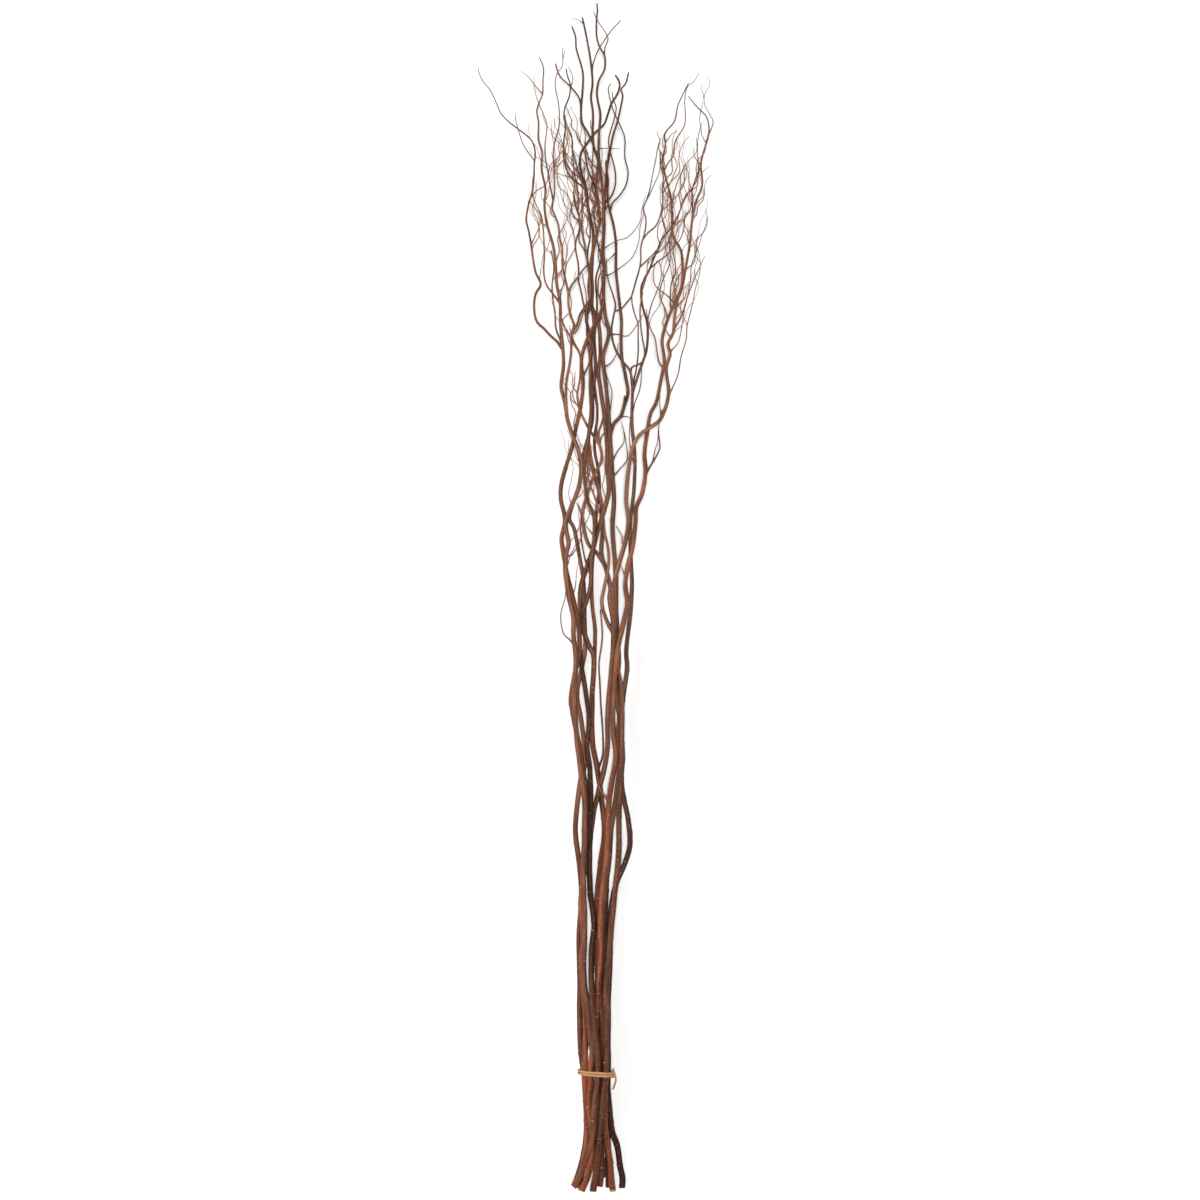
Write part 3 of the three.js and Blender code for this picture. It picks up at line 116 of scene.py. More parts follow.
STEMS = {
    "branch_01": (
        4.3, 0.7, (44, 35, 31, 26, 30, 34, 46, 52, 56),
        "573.3,1186.5 579.6,1175.4 582.4,1167.7 586.4,1156 589.6,1148.5 591.6,1141 592.8,1126 "
        "594.4,1108 596.2,1093 597.6,1083 598.2,1068 597.3,1050 593.7,1020 593,1010 592,994 591.4,978 "
        "591.4,961 592.2,944 594,932 594.3,926 593.5,916 591.7,905 590.3,894 589.7,875 589.4,855 "
        "589.5,830 590.8,800 589.8,770 587,747 589,722 586.5,697 582.5,673 580,645 580.5,618 586.5,601 "
        "590.8,585 591,563 594,540 594,516 588,502 585.3,485 584.5,466 586.8,446 588.8,432 590.5,420 "
        "591,408 590.5,395 590,383 590,360 588.5,345 587,330 587.5,315 589.5,300 589.5,285 588.7,268 "
        "587,256 584.8,246 582.6,236 580.5,222 576,208 573.5,196 574.5,184 571.5,172",
    ),
    "branch_02": (
        4.5, 0.75, (8, 41, 40, 50, 54, 58, 76, 88, 96),
        "581.2,1192 584,1186.5 587.3,1179 589,1171.5 590.3,1164 592.2,1155 593,1145 592.3,1134 "
        "590.8,1122 589.6,1106 590.2,1091 590.9,1082 591,1068 593.5,1050 596,1015 598,985 600.5,960 "
        "600.5,925 602,895 605,868 607,840 608,812 611.5,783 616,757 613.5,735 612.8,708 615.5,668 "
        "619,643 625.5,614 627.5,603 625.3,585 628,566 632.5,547 635.5,522 636,508 642,494 645.5,471 "
        "644.5,455 647,434 650.5,414 656,403 660.8,381 664,362 662,341 665.5,326 671,312 675.3,303 "
        "681,288 682.3,271 680.5,252 673,238 671.5,217 670.5,200 666.7,184.4 662,163.4 665,147 "
        "664.6,136 674,124 677.5,108 682,98 688,86",
    ),
    "branch_03": (
        4.2, 1.2, (13, 18, 21, 34, 36, 44, 72, 84, 90),
        "578,1190 582,1170 585,1155 587.2,1143 587.4,1130 586.6,1112 585.3,1094 584.6,1076 585,1058 "
        "585.5,1040 585.5,1020 582.5,980 581.5,960 583,940 581,905 584,870 586.5,830 587,808 583,770 "
        "578,740 572.5,712 570.8,700 574.5,676 579.5,650 578,622 573,598 567.5,576 562.5,548 561.5,538 "
        "565,520 561,500 561,487 566,466 572,447 576,428 580.5,408 583,385 581.5,360 585.5,345 "
        "593,328.5 598,318.5 601.8,310 603.2,300 603.4,290 604,279 604.2,270 602.6,264 601.4,257 "
        "602.2,248 603.2,240 603.2,230 603.6,209 605,192 606.4,175 610,153 613,138 618,122 621,108 "
        "622.6,98 621,92 625.6,86 628.4,75.6",
    ),
    "branch_04": (
        4.4, 0.8, (22, 24, 39, 44, 48, 54, 32, 34, 40),
        "600,1187 601,1165 599.8,1148 598.4,1132 598.1,1112 598.6,1092 598,1075 591.5,1045 589.8,1028 "
        "587.8,1006 584.6,990 583.5,972 583.8,948 584.3,928 584,905 583.2,885 583,870 584.5,840 "
        "584.8,805 582,780 577,740 575,712 574.5,688 576,660 573.5,635 573.5,618 569,597 565.5,573 "
        "566.5,553 568.5,544 566,525 571,507 578.5,489 581,467 578,449 572,434 567.5,419 565,403 "
        "561.2,387 563.3,367 563,350 560.5,325 560,301 556.7,284 555.7,266 553,245 546.2,220.8 "
        "544.4,203 545.5,190 541.5,168 542,152 538.5,139 538.5,122 536.8,110 539.5,101.4 542.4,93.7 "
        "542.9,80.4 543.3,67 539.5,57.4",
    ),
    "branch_05": (
        4, 1.3, (12, 14, 15, 24, 14, 16, 18, 26, 34),
        "605,1179 603.3,1168 601.4,1157 603,1144 603.8,1130 603.2,1116 600.5,1080 600,1065 596,1030 "
        "592,995 591,965 593,937 594.5,922 590.5,895 589,868 590.5,838 594,812 599,790 604,770 "
        "607.5,748 607.5,720 609.5,690 613,648 613,620 609.5,598 610.5,588 606.5,571 601.5,553 603,525 "
        "599.8,495 593.5,471 590,455 588.5,438 591.7,408 592,386 591,360 594,325 592,305 592.5,291 "
        "592,272 592.6,254 593.2,232 588.3,207.4 586.4,188.3 582,175 580,163 581,152 586.4,143.5 "
        "595,132 604,123.4 608,113 611.2,103.3 617,93.7 619.8,85 618.5,79 615.6,75",
    ),
    "branch_06": (
        4.4, 0.8, (32, 38, 46, 46, 52, 70, 46, 40, 38),
        "593,1192 596.5,1170 598.5,1140 601.5,1110 604,1091 605.6,1078 606,1064 605.8,1050 606.5,1012 "
        "606,990 608.5,960 611,930 614,900 618,865 619,845 619,815 621.5,770 621.8,730 621.3,690 "
        "617.3,668 614.5,645 614,607 614,585 619.5,562 625.5,541 628.5,522 626.2,500 628.5,470 632,450 "
        "639,436 649,428.5 659,421.5 664,412 668.5,393 666.2,368 670,354 668,344 673,333 674.5,318 "
        "677.2,301 682,287 686,266 690,243 692,222 696,202 702,186 702,176 701,165 704,150 708.5,136 "
        "708.8,125 706,116 698.3,108 688.7,96.6",
    ),
    "branch_07": (
        4.2, 2.35, (4, 21, 16, 16, 17, 14, 9, 8, 10),
        "622.1,1190 622.4,1180 620.4,1170 618.6,1155 616.4,1145 612.9,1136 611,1127 609.4,1110 "
        "608,1092 607.6,1076 608,1060 608,1045 608,1006 609,985 609.9,961 610.3,935 611,910 616,886 "
        "624.5,865 630,846 628.5,822 622,788 621.7,772 623,760 621,728 623,700 627.2,668 626.3,652 "
        "631,608 632,582 630.5,547 630.5,522 634,490 635,455 632,423 632.8,388",
    ),
    "branch_08": (
        4.3, 1.2, (8, 11, 22, 34, 36, 42, 54, 64, 70),
        "609,1190 608,1152 607,1130 606.5,1098 605.5,1080 603,1060 601.5,1020 603.5,980 605.5,945 "
        "605.3,915 606.3,885 609.3,855 611,830 617,792 619.5,765 617.5,740 619.5,717 617,698 617.5,676 "
        "618.5,662 617.5,638 616,612 616,576 612.5,527 614,500 611.5,462 609.5,428 606.5,390 603,356 "
        "605,349 609,333 605.5,317 603.6,299 604.1,270 603,250 604.1,230 603.6,209 602.5,190 600,170 "
        "598.5,150 599,135 600.3,115 598,103 596.9,94 598.8,82.3 604.5,70.8 604.5,57.4 599.7,48.8 "
        "596.7,38.3 596.7,20 597.5,12 596.9,5.7",
    ),
    "branch_09": (
        4.3, 1.3, (18, 26, 11, 16, 24, 28, 36, 46, 56),
        "613,1192 611.5,1183 610.4,1172 609.6,1160 607.6,1148 606,1137 604.8,1122 604.6,1105 604,1085 "
        "603.5,1065 603.5,1045 600,1010 597.5,965 597,920 597.5,895 600.5,865 604.5,830 601.5,800 "
        "597,768 592.8,745 592,700 593.5,655 590,648 584,632 580,598 582.5,580 590.5,557 596.5,535 "
        "605.5,506 609,488 607,465 607.5,450 604,413 601,392 598.5,372 600.5,352 598,322 592,306 "
        "589,288 590.5,270 592.7,252 596.5,236 600,220 598,205 596,190 597,175 598,160 594,148 "
        "592.7,135 593,122 592.7,111 591,97.6 592.5,84.2 591.7,70.8 589.2,51.7 585.4,32.5 582.5,19",
    ),
    "branch_10": (
        4.2, 0.8, (4, 11, 12, 6, 10, 18, 24, 30, 34),
        "576,1184 583,1160 586.3,1138 586.4,1115 585.4,1095 584.2,1077 581.8,1060 580.3,1042 "
        "579.6,1015 580,985 579,940 581.5,895 579.5,868 575.5,835 576,818 580.5,780 584.8,766 "
        "584.5,750 580.5,718 577,695 581,671 585,650 584.5,618 583.3,580 579.5,557 573.5,527 569.5,519 "
        "572,506 580.5,478 582.5,458 586,444 589.5,432 592.3,420 592.8,408 593,396 593.5,385 594.4,376 "
        "595,368 594.5,355 592,340 589,330 586.8,323.7 586,317.4 588.9,311 590.5,300 590.3,288 "
        "589.3,276 588,264 587.5,254 588.5,245 590,238 590,226 588,212 586,198 584,184",
    ),
}

SIDES = [
    ("branch_01", 0, 1.3, 0.6, 10, "591,575 587,566 583,550 580.5,530 581,515 577,503"),
    (
        "branch_01", 0, 1.2, 0.6, 12,
        "588.8,350 590.5,343 589.5,330 587,320 586.5,308 586,294 583.4,281.4 582.5,274",
    ),
    (
        "branch_02", 0, 1.5, 0.6, 14,
        "645.8,474 650.5,466 657,455 659.7,448 658.5,434 659,424 662,410",
    ),
    ("branch_02", 1, 0.9, 0.5, 6, "652.5,462 655,450 657.5,442 658,430"),
    (
        "branch_02", 0, 1.1, 0.5, 12,
        "663.5,172 668,165 673,158 674,147 677,140 682,132 684.5,126 684.5,100 687,90 694,84 698.5,76",
    ),
    (
        "branch_02", 0, 1.1, 0.5, 8,
        "669,312 670,298 671,285 675,275 675,266 673,255 673.5,245 676,235 678,222",
    ),
    (
        "branch_02", 0, 1.1, 0.5, 14,
        "666.5,321 665,310 660,299 660,290 664,278 668.5,268 670,258 668,240 664,230 661,218",
    ),
    ("branch_02", 0, 1.1, 0.5, 10, "673.5,304 667,297 660,292 655,287 653,279 654,269 657,262"),
    ("branch_02", 0, 1, 0.5, 12, "671,211 673,198 676,187 680,177 685,166"),
    ("branch_02", 0, 0.8, 0.5, 6, "665.2,146 668,141 672,136.5 676.7,134"),
    ("branch_02", 0, 1.3, 0.8, -8, "607.9,803 604.5,796 601,790.5 598.5,784 597.5,776"),
    (
        "branch_03", 0, 1.4, 0.8, 12,
        "604,206 610,200 614.5,190 615.5,178 613.5,166 610,154 608.5,143 611,132 614,122 616,110 "
        "613,102 612,95",
    ),
    ("branch_03", 0, 1.2, 0.5, 8, "581.8,364 579,352 575,344 572,336 569,326"),
    ("branch_03", 0, 1.5, 0.8, 8, "583,378 587,369 589.5,362 591,352"),
    (
        "branch_03", 0, 1.5, 0.6, -14,
        "601.6,261 600.4,255 598.9,249.5 597.8,244.5 596.3,236 594.5,220 595,207",
    ),
    (
        "branch_03", 0, 1.4, 0.9, -6,
        "602.8,305 600.5,301 598.2,295 598,288 598.6,280 600.2,274.6 603,271.6",
    ),
    ("branch_03", 0, 1.2, 0.6, 8, "604,214 608.3,205 608,193 608.6,183 607,170 607.5,160 609,151"),
    (
        "branch_04", 0, 2, 0.6, -38,
        "563,351 557,341.5 550,335 544.3,328.7 536.6,321 534,306 535.7,293 540.5,283.9 535.7,272.4 "
        "533.4,261 530.9,243.7 528.5,230 526,218.9 528,203.6 532,190 533.7,175 534,163 535,152 "
        "531.8,139.7 524.2,132 516.5,126.3 507,118.6 500.3,111 494.5,97.6 489.7,88 482,78.4 478.3,69.8 "
        "477.5,66",
    ),
    ("branch_04", 1, 0.9, 0.4, 6, "534.5,159 528,151 522.3,141.6 518.5,130 515.5,118 514.8,111"),
    ("branch_04", 1, 0.9, 0.4, 8, "530.5,243 535.7,234 539,226 540.5,215"),
    (
        "branch_04", 0, 1.4, 0.6, 12,
        "560.3,303 552.9,293.5 546.2,284 543.7,272 544.3,254 543.3,232 541.4,216 535.7,203.6 532.8,194 "
        "532.5,182 534.5,170",
    ),
    (
        "branch_04", 0, 1.4, 0.8, -8,
        "562.5,345 556,328.7 554.8,311.5 552.9,300 552,285 553.8,266 551,250",
    ),
    (
        "branch_04", 0, 2.1, 0.6, 24,
        "566.5,415 566,395 566.5,382 569.5,365 571.3,350 571,336 574,326 571,317 568.5,305 568.2,293 "
        "565.3,280 562.4,264.8 562.4,251 559.8,239 558.5,226.5 554.8,216 552,208.5 554.5,196 554.2,175 "
        "553.5,155 554.8,143.5 558.5,132 559.6,120 558.6,105.2 555.7,90 555.7,80 558,74 562.4,68 "
        "562.4,49.7",
    ),
    ("branch_04", 6, 0.6, 0.4, 2, "562.4,62 564.2,56 565.3,51.6"),
    ("branch_04", 6, 1.2, 0.6, -8, "571,338 566.3,330.6 562,320 559.6,308 560,298"),
    (
        "branch_04", 6, 2, 0.8, 14,
        "572,333 577,325 580,315 585,307.5 589,300.5 590.5,290 589,275 587,262 586,250 583,236 "
        "581.5,222",
    ),
    (
        "branch_04", 6, 1.8, 1.3, 10,
        "568.3,299 570,290 572.4,284.8 575,281.8 578.8,276.8 581.7,272.6 586.5,266.7",
    ),
    ("branch_04", 6, 1.3, 1, 8, "572,335 575,333 578.3,328 581.5,319 583,313.6 584.6,307"),
    ("branch_04", 0, 0.9, 0.4, 5, "542.7,93.7 535.7,86 528,76.5 520.4,70.8"),
    (
        "branch_04", 6, 1.3, 0.4, -6,
        "552.4,210 552.8,200 550,186 548,172 545.6,160 545.2,146 547,126 543.3,114.8 537.6,101.4 "
        "534.3,86 534.3,73.7",
    ),
    (
        "branch_04", 0, 1, 0.6, 8,
        "573.8,647 569.5,639.5 564,634.5 561,622 561.2,612 565,598 566,588",
    ),
    ("branch_04", 0, 0.9, 0.5, -7, "566.6,557 571,555.5 575,550.5 579,544 582,536"),
    (
        "branch_04", 0, 0.9, 0.4, 16,
        "559.8,298 561.5,290 564,282 565.3,272 566.5,264 570.5,256.5 575,247.5 574,236 571.5,226 "
        "569.5,215 572,206 575,196",
    ),
    ("branch_04", 6, 0.6, 0.4, 4, "554.3,169 559,165.5 564,162"),
    (
        "branch_05", 0, 2.9, 1.1, 6,
        "603.5,564 596,552 589,545 583.8,528 582.5,513 589,489 595.5,472 601.5,460 600,446 593,435 "
        "586,423 580.5,411 577.3,395 578.5,386 580,377 580.3,365 579.8,354 577,348.5 573.5,343 571,336",
    ),
    ("branch_05", 1, 0.9, 0.5, 8, "579.9,410 575,401.5 572.5,393 574.5,381 575,371"),
    (
        "branch_05", 0, 3, 1.7, -4,
        "611,634 606.5,620 601.8,603 604.8,585 608.8,563 608,548 604.8,532 603.5,518",
    ),
    (
        "branch_05", 0, 1.6, 0.8, 10,
        "602.5,529 599,510 594,495 588.5,479 587.3,457 587.5,437 589.5,420",
    ),
    ("branch_05", 1, 1, 0.6, 8, "597.8,441 596.8,425 596.5,412 597,400 595.5,385 594,372"),
    ("branch_05", 1, 1.6, 1.1, 6, "598.5,443 599,431.6 601.5,423 603.3,416 603.5,405"),
    ("branch_05", 1, 1.2, 0.8, 10, "599.5,445 601.5,436.3 604.5,432 606,424"),
    (
        "branch_05", 0, 1.4, 0.9, -8,
        "587,197 586,190.5 581,184.5 575,180.5 569.5,175 566,167 564,157 563.5,146 564.2,135 565.5,126 "
        "563.8,116 565,106 569,95.7 570.3,84 567,73 566.3,67.9",
    ),
    ("branch_05", 8, 0.7, 0.4, 3, "570.3,86 572.8,78 571,70.5 568.2,65.6"),
    (
        "branch_05", 0, 1.3, 0.6, 12,
        "585,190 582,179.6 578,169.6 575,159.6 572.7,150 572.3,139 570.4,135 566.5,127.5",
    ),
    (
        "branch_06", 0, 1.4, 0.5, 8,
        "674,330 680,319 684,309 687.7,296 692,285 696,275 700,267 704.6,256",
    ),
    (
        "branch_06", 0, 1.1, 0.4, -14,
        "668.4,397 672,389 677.5,376 681,357 686,340 687,326 690,314 693,302 695,290 698,280 700,270 "
        "700,261 698,250 695,245",
    ),
    (
        "branch_06", 1, 0.8, 0.4, 5,
        "688,296 690,281 691.5,266 694.5,256 699,245.5 702,235 705,227 707,217",
    ),
    ("branch_06", 0, 0.9, 0.5, 8, "669.5,352 674,348 678,343 680.5,334 682,325 684,313 684.5,305"),
    ("branch_06", 0, 1.3, 0.6, 12, "666.5,370 660,365 656.5,350 655,339 651,331 648,321 646,310"),
    ("branch_06", 0, 0.9, 0.5, 10, "661.5,419 660,410 659.5,400 660,388"),
    (
        "branch_06", 0, 1.1, 0.4, -10,
        "692.4,218 692.3,203 692.2,190 695,180 698.5,170 697.8,156 697.8,142 699.5,130 702.8,121",
    ),
    ("branch_06", 0, 0.8, 0.4, 5, "708.6,134 712,127 713,121 709,113 705,106 703.6,97 701,86"),
    ("branch_06", 8, 0.6, 0.4, 3, "703.8,99 705.5,92 709,87 709.7,82 707,77.3"),
    ("branch_06", 0, 0.7, 0.4, -6, "706.5,142 702,135.5 701,127 699.6,118 701,110 703,101"),
    ("branch_06", 0, 0.7, 0.4, 5, "701,165 697,160.5 694.5,157 693.3,148"),
    (
        "branch_07", 0, 1.3, 0.9, -5,
        "632.8,391 633.9,379 635.7,372 637.2,363.6 638.4,349 638.2,335 638.1,322 636,316.5 634,310 "
        "632.2,302 632,296.5",
    ),
    (
        "branch_07", 0, 2, 0.7, 16,
        "632.8,388 630,370 622,360 614.5,346 611.6,330 613,318 615.5,305 613,294 609.5,284 607,272 "
        "606.4,258",
    ),
    (
        "branch_07", 0, 2.1, 0.7, -7,
        "632.6,391 638,375 643,361 646.5,350 648,331 647,320 642.8,305.7 641.3,294 642,284 648.5,271 "
        "652.4,261 657,250 662.5,237 670,228 677.2,216 686.8,194 695.4,182 700,168 703,155",
    ),
    (
        "branch_07", 2, 1.3, 1, 8,
        "630.5,371 632,366.6 637,364.5 641.8,361.8 644.6,356 644.6,349 642.4,337 640.9,325 640.2,310 "
        "641.2,301 642.6,292",
    ),
    (
        "branch_07", 3, 1.2, 0.5, -4,
        "641.6,286 645,276 650,268 659,259.5 665,255.5 675,244.5 681,237 684,228 686,213 690,209 "
        "693,198",
    ),
    ("branch_07", 3, 0.9, 0.5, 12, "647.2,322 651,306 655,295 659,285 661.8,272 659,260"),
    (
        "branch_07", 2, 1.4, 0.8, 4,
        "614.6,311.3 618,309.5 621.9,307.7 626,302.9 630.9,296.8 633.2,290.5 636,280 639.5,268 641,258 "
        "640.8,250 642.5,240 648,232 656.2,224.6 660.5,214 663,198 662.5,186 663.5,176 660.8,165 "
        "660.3,151",
    ),
    ("branch_07", 0, 0.9, 0.5, 7, "634.9,466 631,452 629.5,436 630.5,416"),
    ("branch_07", 0, 1, 0.5, 11, "631.8,421 634.5,404 640,388 642,368"),
    ("branch_07", 7, 1.2, 0.8, 6, "640.2,266 644,262.6 650.2,256.5 653.2,254 656,250"),
    (
        "branch_07", 7, 1.1, 0.5, 10,
        "643,240 645.5,228 646,218 643.5,208 647,198 650,188 653,172 656,158 658,146 660.8,138",
    ),
    ("branch_07", 11, 0.7, 0.4, 4, "646.6,199 650,193 655,182 659.5,171 661,158"),
    (
        "branch_07", 2, 0.8, 0.4, 10,
        "611.7,333 619,333.8 625,335.6 629,334.5 634,328.5 638,322.5 641,317 645,312",
    ),
    (
        "branch_08", 0, 2.8, 1.5, 14,
        "609.8,436 614,423.5 620.5,416.5 624.5,405 628,393 625.5,376 622,359 621,338 621.5,322 620,308 "
        "618,290 616,272 616,245.7 614,228 609.5,210 607.5,198 607.5,186 606.5,174 606,162",
    ),
    ("branch_08", 1, 1.5, 1.3, 4, "621.5,414 624,402 624.6,396"),
    (
        "branch_08", 0, 0.9, 0.6, 5,
        "604.8,57 604.9,49.7 608,41 605.5,34.4 598.8,24.9 595.5,18.5 593.6,14.3",
    ),
    ("branch_08", 0, 0.9, 0.5, 9, "608.5,418 611.3,402 611.8,391 608.5,381 605,370"),
    ("branch_08", 1, 0.8, 0.5, 4, "620.5,416.5 626,416.5 631,418"),
    ("branch_08", 0, 0.9, 0.5, 12, "611.6,463 617,452 624,442 624,434 621.5,422"),
    ("branch_08", 0, 0.9, 0.5, 18, "612.5,478 619,470 627,460 627,450 624.5,433"),
    ("branch_08", 0, 0.7, 0.4, 5, "598.6,150 604,149.5 611,150 619.8,150"),
    (
        "branch_08", 0, 0.8, 0.4, 14,
        "604,276 608.4,275.5 615,272 622,267 631,259.5 635.5,252 639,240 640,228 644,214",
    ),
    (
        "branch_08", 0, 0.8, 0.4, 22,
        "603,250 606.5,247.5 617,241.5 627,238.5 636,229.5 640.5,221 641.5,212 645,198",
    ),
    ("branch_08", 1, 0.9, 0.6, 5, "616,253.5 612,257 609,260 607.2,262.3"),
    ("branch_08", 0, 0.9, 0.5, 12, "604.2,367 610,364 614,359 617,353 618,344"),
    ("branch_08", 0, 0.7, 0.4, 5, "607.5,329 603,322.5 601.3,315 601,304"),
    (
        "branch_08", 0, 1.2, 0.6, 10,
        "600.5,180 597,170 593,166 590,161 587,155 585.2,147 585.4,139 584.2,131 581,125",
    ),
    (
        "branch_08", 1, 1.25, 0.8, 4,
        "610.2,212 613,203 618,198 625.6,186.4 628,173 624.8,158 624.6,138 619.5,125 613.5,112 "
        "609.5,98 608.5,88 610.8,85",
    ),
    (
        "branch_09", 0, 3.1, 1.2, -6,
        "593,670 594.8,650 595,630 592.5,607 591.5,585 592.5,562 594,543 595.5,524 597,505 599.5,487 "
        "598,468 595,452 594.5,436 597,420 597,404 594.5,388 596,370 595.5,352 594.8,337 595.6,323.7 "
        "596.9,312 596.7,296 595.8,284 596.2,275 598.2,268 600.6,260 601.8,250 602.3,238",
    ),
    (
        "branch_09", 0, 1.5, 1, 12,
        "597.5,772 602.5,757 603,738 600.7,703 599.8,682 599,664 602.3,637 600.5,610",
    ),
    ("branch_09", 0, 1, 0.75, 8, "592,75 592.7,67 596.9,53.6 604.5,41 612.2,30.6 620.8,21.4"),
    (
        "branch_09", 0, 1.8, 1.1, -8,
        "593.6,145 587.3,132 582,122.4 581.2,107 582.5,91.8 583,73.7 580.6,63 576.2,47.8 575.5,36.3 "
        "572,26.4",
    ),
    ("branch_09", 4, 1.3, 1, -10, "581.3,112 579.3,98.5 570,86 560.5,76.5 557,69 555.7,63.5"),
    ("branch_09", 0, 0.7, 0.4, 3, "583.6,25 579,21.5 572,19.2"),
    (
        "branch_09", 0, 1.2, 0.5, 12,
        "598.2,325 601.5,312 600,298 602,284 600.5,268 598,254 600.5,240",
    ),
    (
        "branch_09", 0, 1.2, 0.55, -12,
        "596,190 592,180 588,169.6 585.8,159 584.6,152 582,145 578,139 575.8,132 571.5,126.5 "
        "571.5,119.6 569,113.5 566.5,106.5",
    ),
    (
        "branch_09", 0, 1.25, 0.6, 14,
        "597.5,204 593.5,192.7 592,185 592.7,177 592,166.5 592.7,158 593,146.5 593.5,135 590.8,128 "
        "590.4,121",
    ),
    (
        "branch_09", 0, 1.2, 0.6, -10,
        "590,268 587,260 584.2,249.6 579.6,242 579,236 581,224 582,212 582.5,200 582,190",
    ),
    (
        "branch_10", 0, 1.4, 0.7, -6,
        "586,317.4 584.5,308 583,301 581.7,294 580,286.5 578.4,279.5 578.6,271 578,262 576.5,254 "
        "575.4,244 579.5,226 578,208 578,192 575,176 573,160 572,146 571.5,134 567,124 564.5,114",
    ),
]

# Small flat spots that the bundle rests on: branch, which of its shoots, and row.
RESTS = [
    ("branch_10", 0, 1178),
    ("branch_07", 0, 1182),
    ("branch_04", 1, 196),
    ("branch_07", 3, 205),
]

# Fine twigs that grow by rule: branch, shoot that carries them, how many, and the least and most
# of the shoot's length that they grow from.
TWIGS = [
    ("branch_01", 0, 6, 0.62, 0.95),
    ("branch_02", 0, 8, 0.6, 0.96),
    ("branch_03", 0, 7, 0.6, 0.96),
    ("branch_04", 0, 5, 0.62, 0.96),
    ("branch_04", 1, 2, 0.25, 0.85),
    ("branch_04", 6, 4, 0.3, 0.9),
    ("branch_05", 0, 6, 0.6, 0.96),
    ("branch_05", 1, 3, 0.4, 0.95),
    ("branch_06", 0, 7, 0.62, 0.96),
    ("branch_07", 7, 5, 0.35, 0.95),
    ("branch_07", 3, 6, 0.25, 0.9),
    ("branch_08", 0, 7, 0.6, 0.96),
    ("branch_08", 1, 3, 0.4, 0.9),
    ("branch_09", 0, 7, 0.6, 0.96),
    ("branch_09", 1, 2, 0.5, 0.95),
    ("branch_10", 0, 5, 0.6, 0.96),
]
# Stretches of the grid that fine twigs keep to: top and bottom row, left and right column.
TWIG_ROOMS = (
    (110, 330, 524, 562),
    (95, 240, 562, 582),
    (135, 240, 562, 606),
    (240, 460, 562, 580),
    (128, 250, 657, 711),
    (250, 340, 635, 703),
)

# The rooms of the finer sprigs, which only the finished look has.
SPRIG_ROOMS = TWIG_ROOMS + (
    (440, 545, 564, 612),
    (340, 420, 640, 668),
    (330, 430, 552, 570),
)

# How twigs and sprigs grow: their rooms, their length, how far they swing from their heading, how
# much higher the tip is than the root, and the radius at the root and at the tip.
Habit = namedtuple("Habit", "kind rooms length swing rise radius")
TWIG = Habit("twig", TWIG_ROOMS, (60, 165), 0.42, (-22, 30), (0.95, 0.45))
SPRIG = Habit("sprig", SPRIG_ROOMS, (60, 160), 0.26, (-12, 22), (0.55, 0.3))

TWIG_SEED = 7919
SPRIG_SEED = 104729
TWIG_POINTS = 6
TWIG_TRIES = 12
TWIG_TURN = (0.2, 0.5)         # angle between a twig and its carrier
TWIG_BEND = (1.1, 0.9)         # share of that angle at its root, and how much less it is at its tip
TWIG_SHARE = (1.15, 0.5)       # share of its length at the carrier's root, and how much less at its tip
TWIG_WAVE = 1.9                # angle of its swing from one point to the next
CARRIER_SIGHT = 8              # points each way that give the carrier's heading
STEM_SPRIGS = (0.45, 0.97)     # the part of a stem that sprigs grow from
SIDE_SPRIGS = (0.1, 0.97)      # and the part of other shoots
SPRIG_CARRIER = 150            # shortest shoot that carries sprigs
TWIG_CLEAR = 0.6               # least room that a twig is kept with
SPRIG_CLEAR = 0.25

# Fine shoots in the middle of the bundle, with the same values as SIDES.
FINE_SHOOTS = [
    (
        "branch_09", 0, 0.75, 0.45, 8,
        "588,564 586,561 584,555 582.5,545 581,535 580.6,520 581,511 577,503",
    ),
    (
        "branch_03", 0, 0.7, 0.4, 10,
        "566,567 568,564 569.5,558 572,552 575,546 581,537 583,528 584.5,518",
    ),
    ("branch_03", 0, 0.65, 0.35, 6, "572,594 574.5,590 575.8,582 576.5,572 578,564 579,558"),
    ("branch_01", 0, 0.8, 0.5, 4, "594,536 592.5,534 588.5,529 585,524 583.5,519"),
    ("branch_06", 0, 1.0, 0.75, 4, "624,547 622,542 622,537 619.5,531.5 616,526"),
    ("branch_02", 0, 0.8, 0.5, 3, "626,577 624.5,575 623,571 621.5,567 620.5,563"),
]


def seeded(seed):
    """A function that gives a seeded random number from 0 to 1 at each call."""
    state = seed
    word = 0xFFFFFFFF

    def draw():
        nonlocal state
        state = (state + 0x6D2B79F5) & word
        mixed = ((state ^ (state >> 15)) * (state | 1)) & word
        mixed ^= (mixed + (mixed ^ (mixed >> 7)) * (mixed | 61)) & word
        return (mixed ^ (mixed >> 14)) / (word + 1)

    return draw


def either_way(random):
    return 1 if random() > 0.5 else -1


def lerp(a, b, part):
    return (1 - part) * a + part * b


def bell(distance, width):
    """1 at no distance, and a smooth fall to nearly nothing at twice the width."""
    return np.exp(-((distance / width) ** 2))


def rows_of(name, table):
    """The rows of a table that start with this name, without it."""
    return [row[1:] for row in table if row[0] == name]


def read_route(text):
    pairs = [[float(n) for n in pair.split(",")] for pair in text.split()]
    return [((column - MIDDLE_COLUMN) * GRID, (MIDDLE_ROW - row) * GRID) for column, row in pairs]


def with_outer_points(points):
    """The points, with one more before the first and one after the last, straight on."""
    return np.vstack([2 * points[0] - points[1], points, 2 * points[-1] - points[-2]])


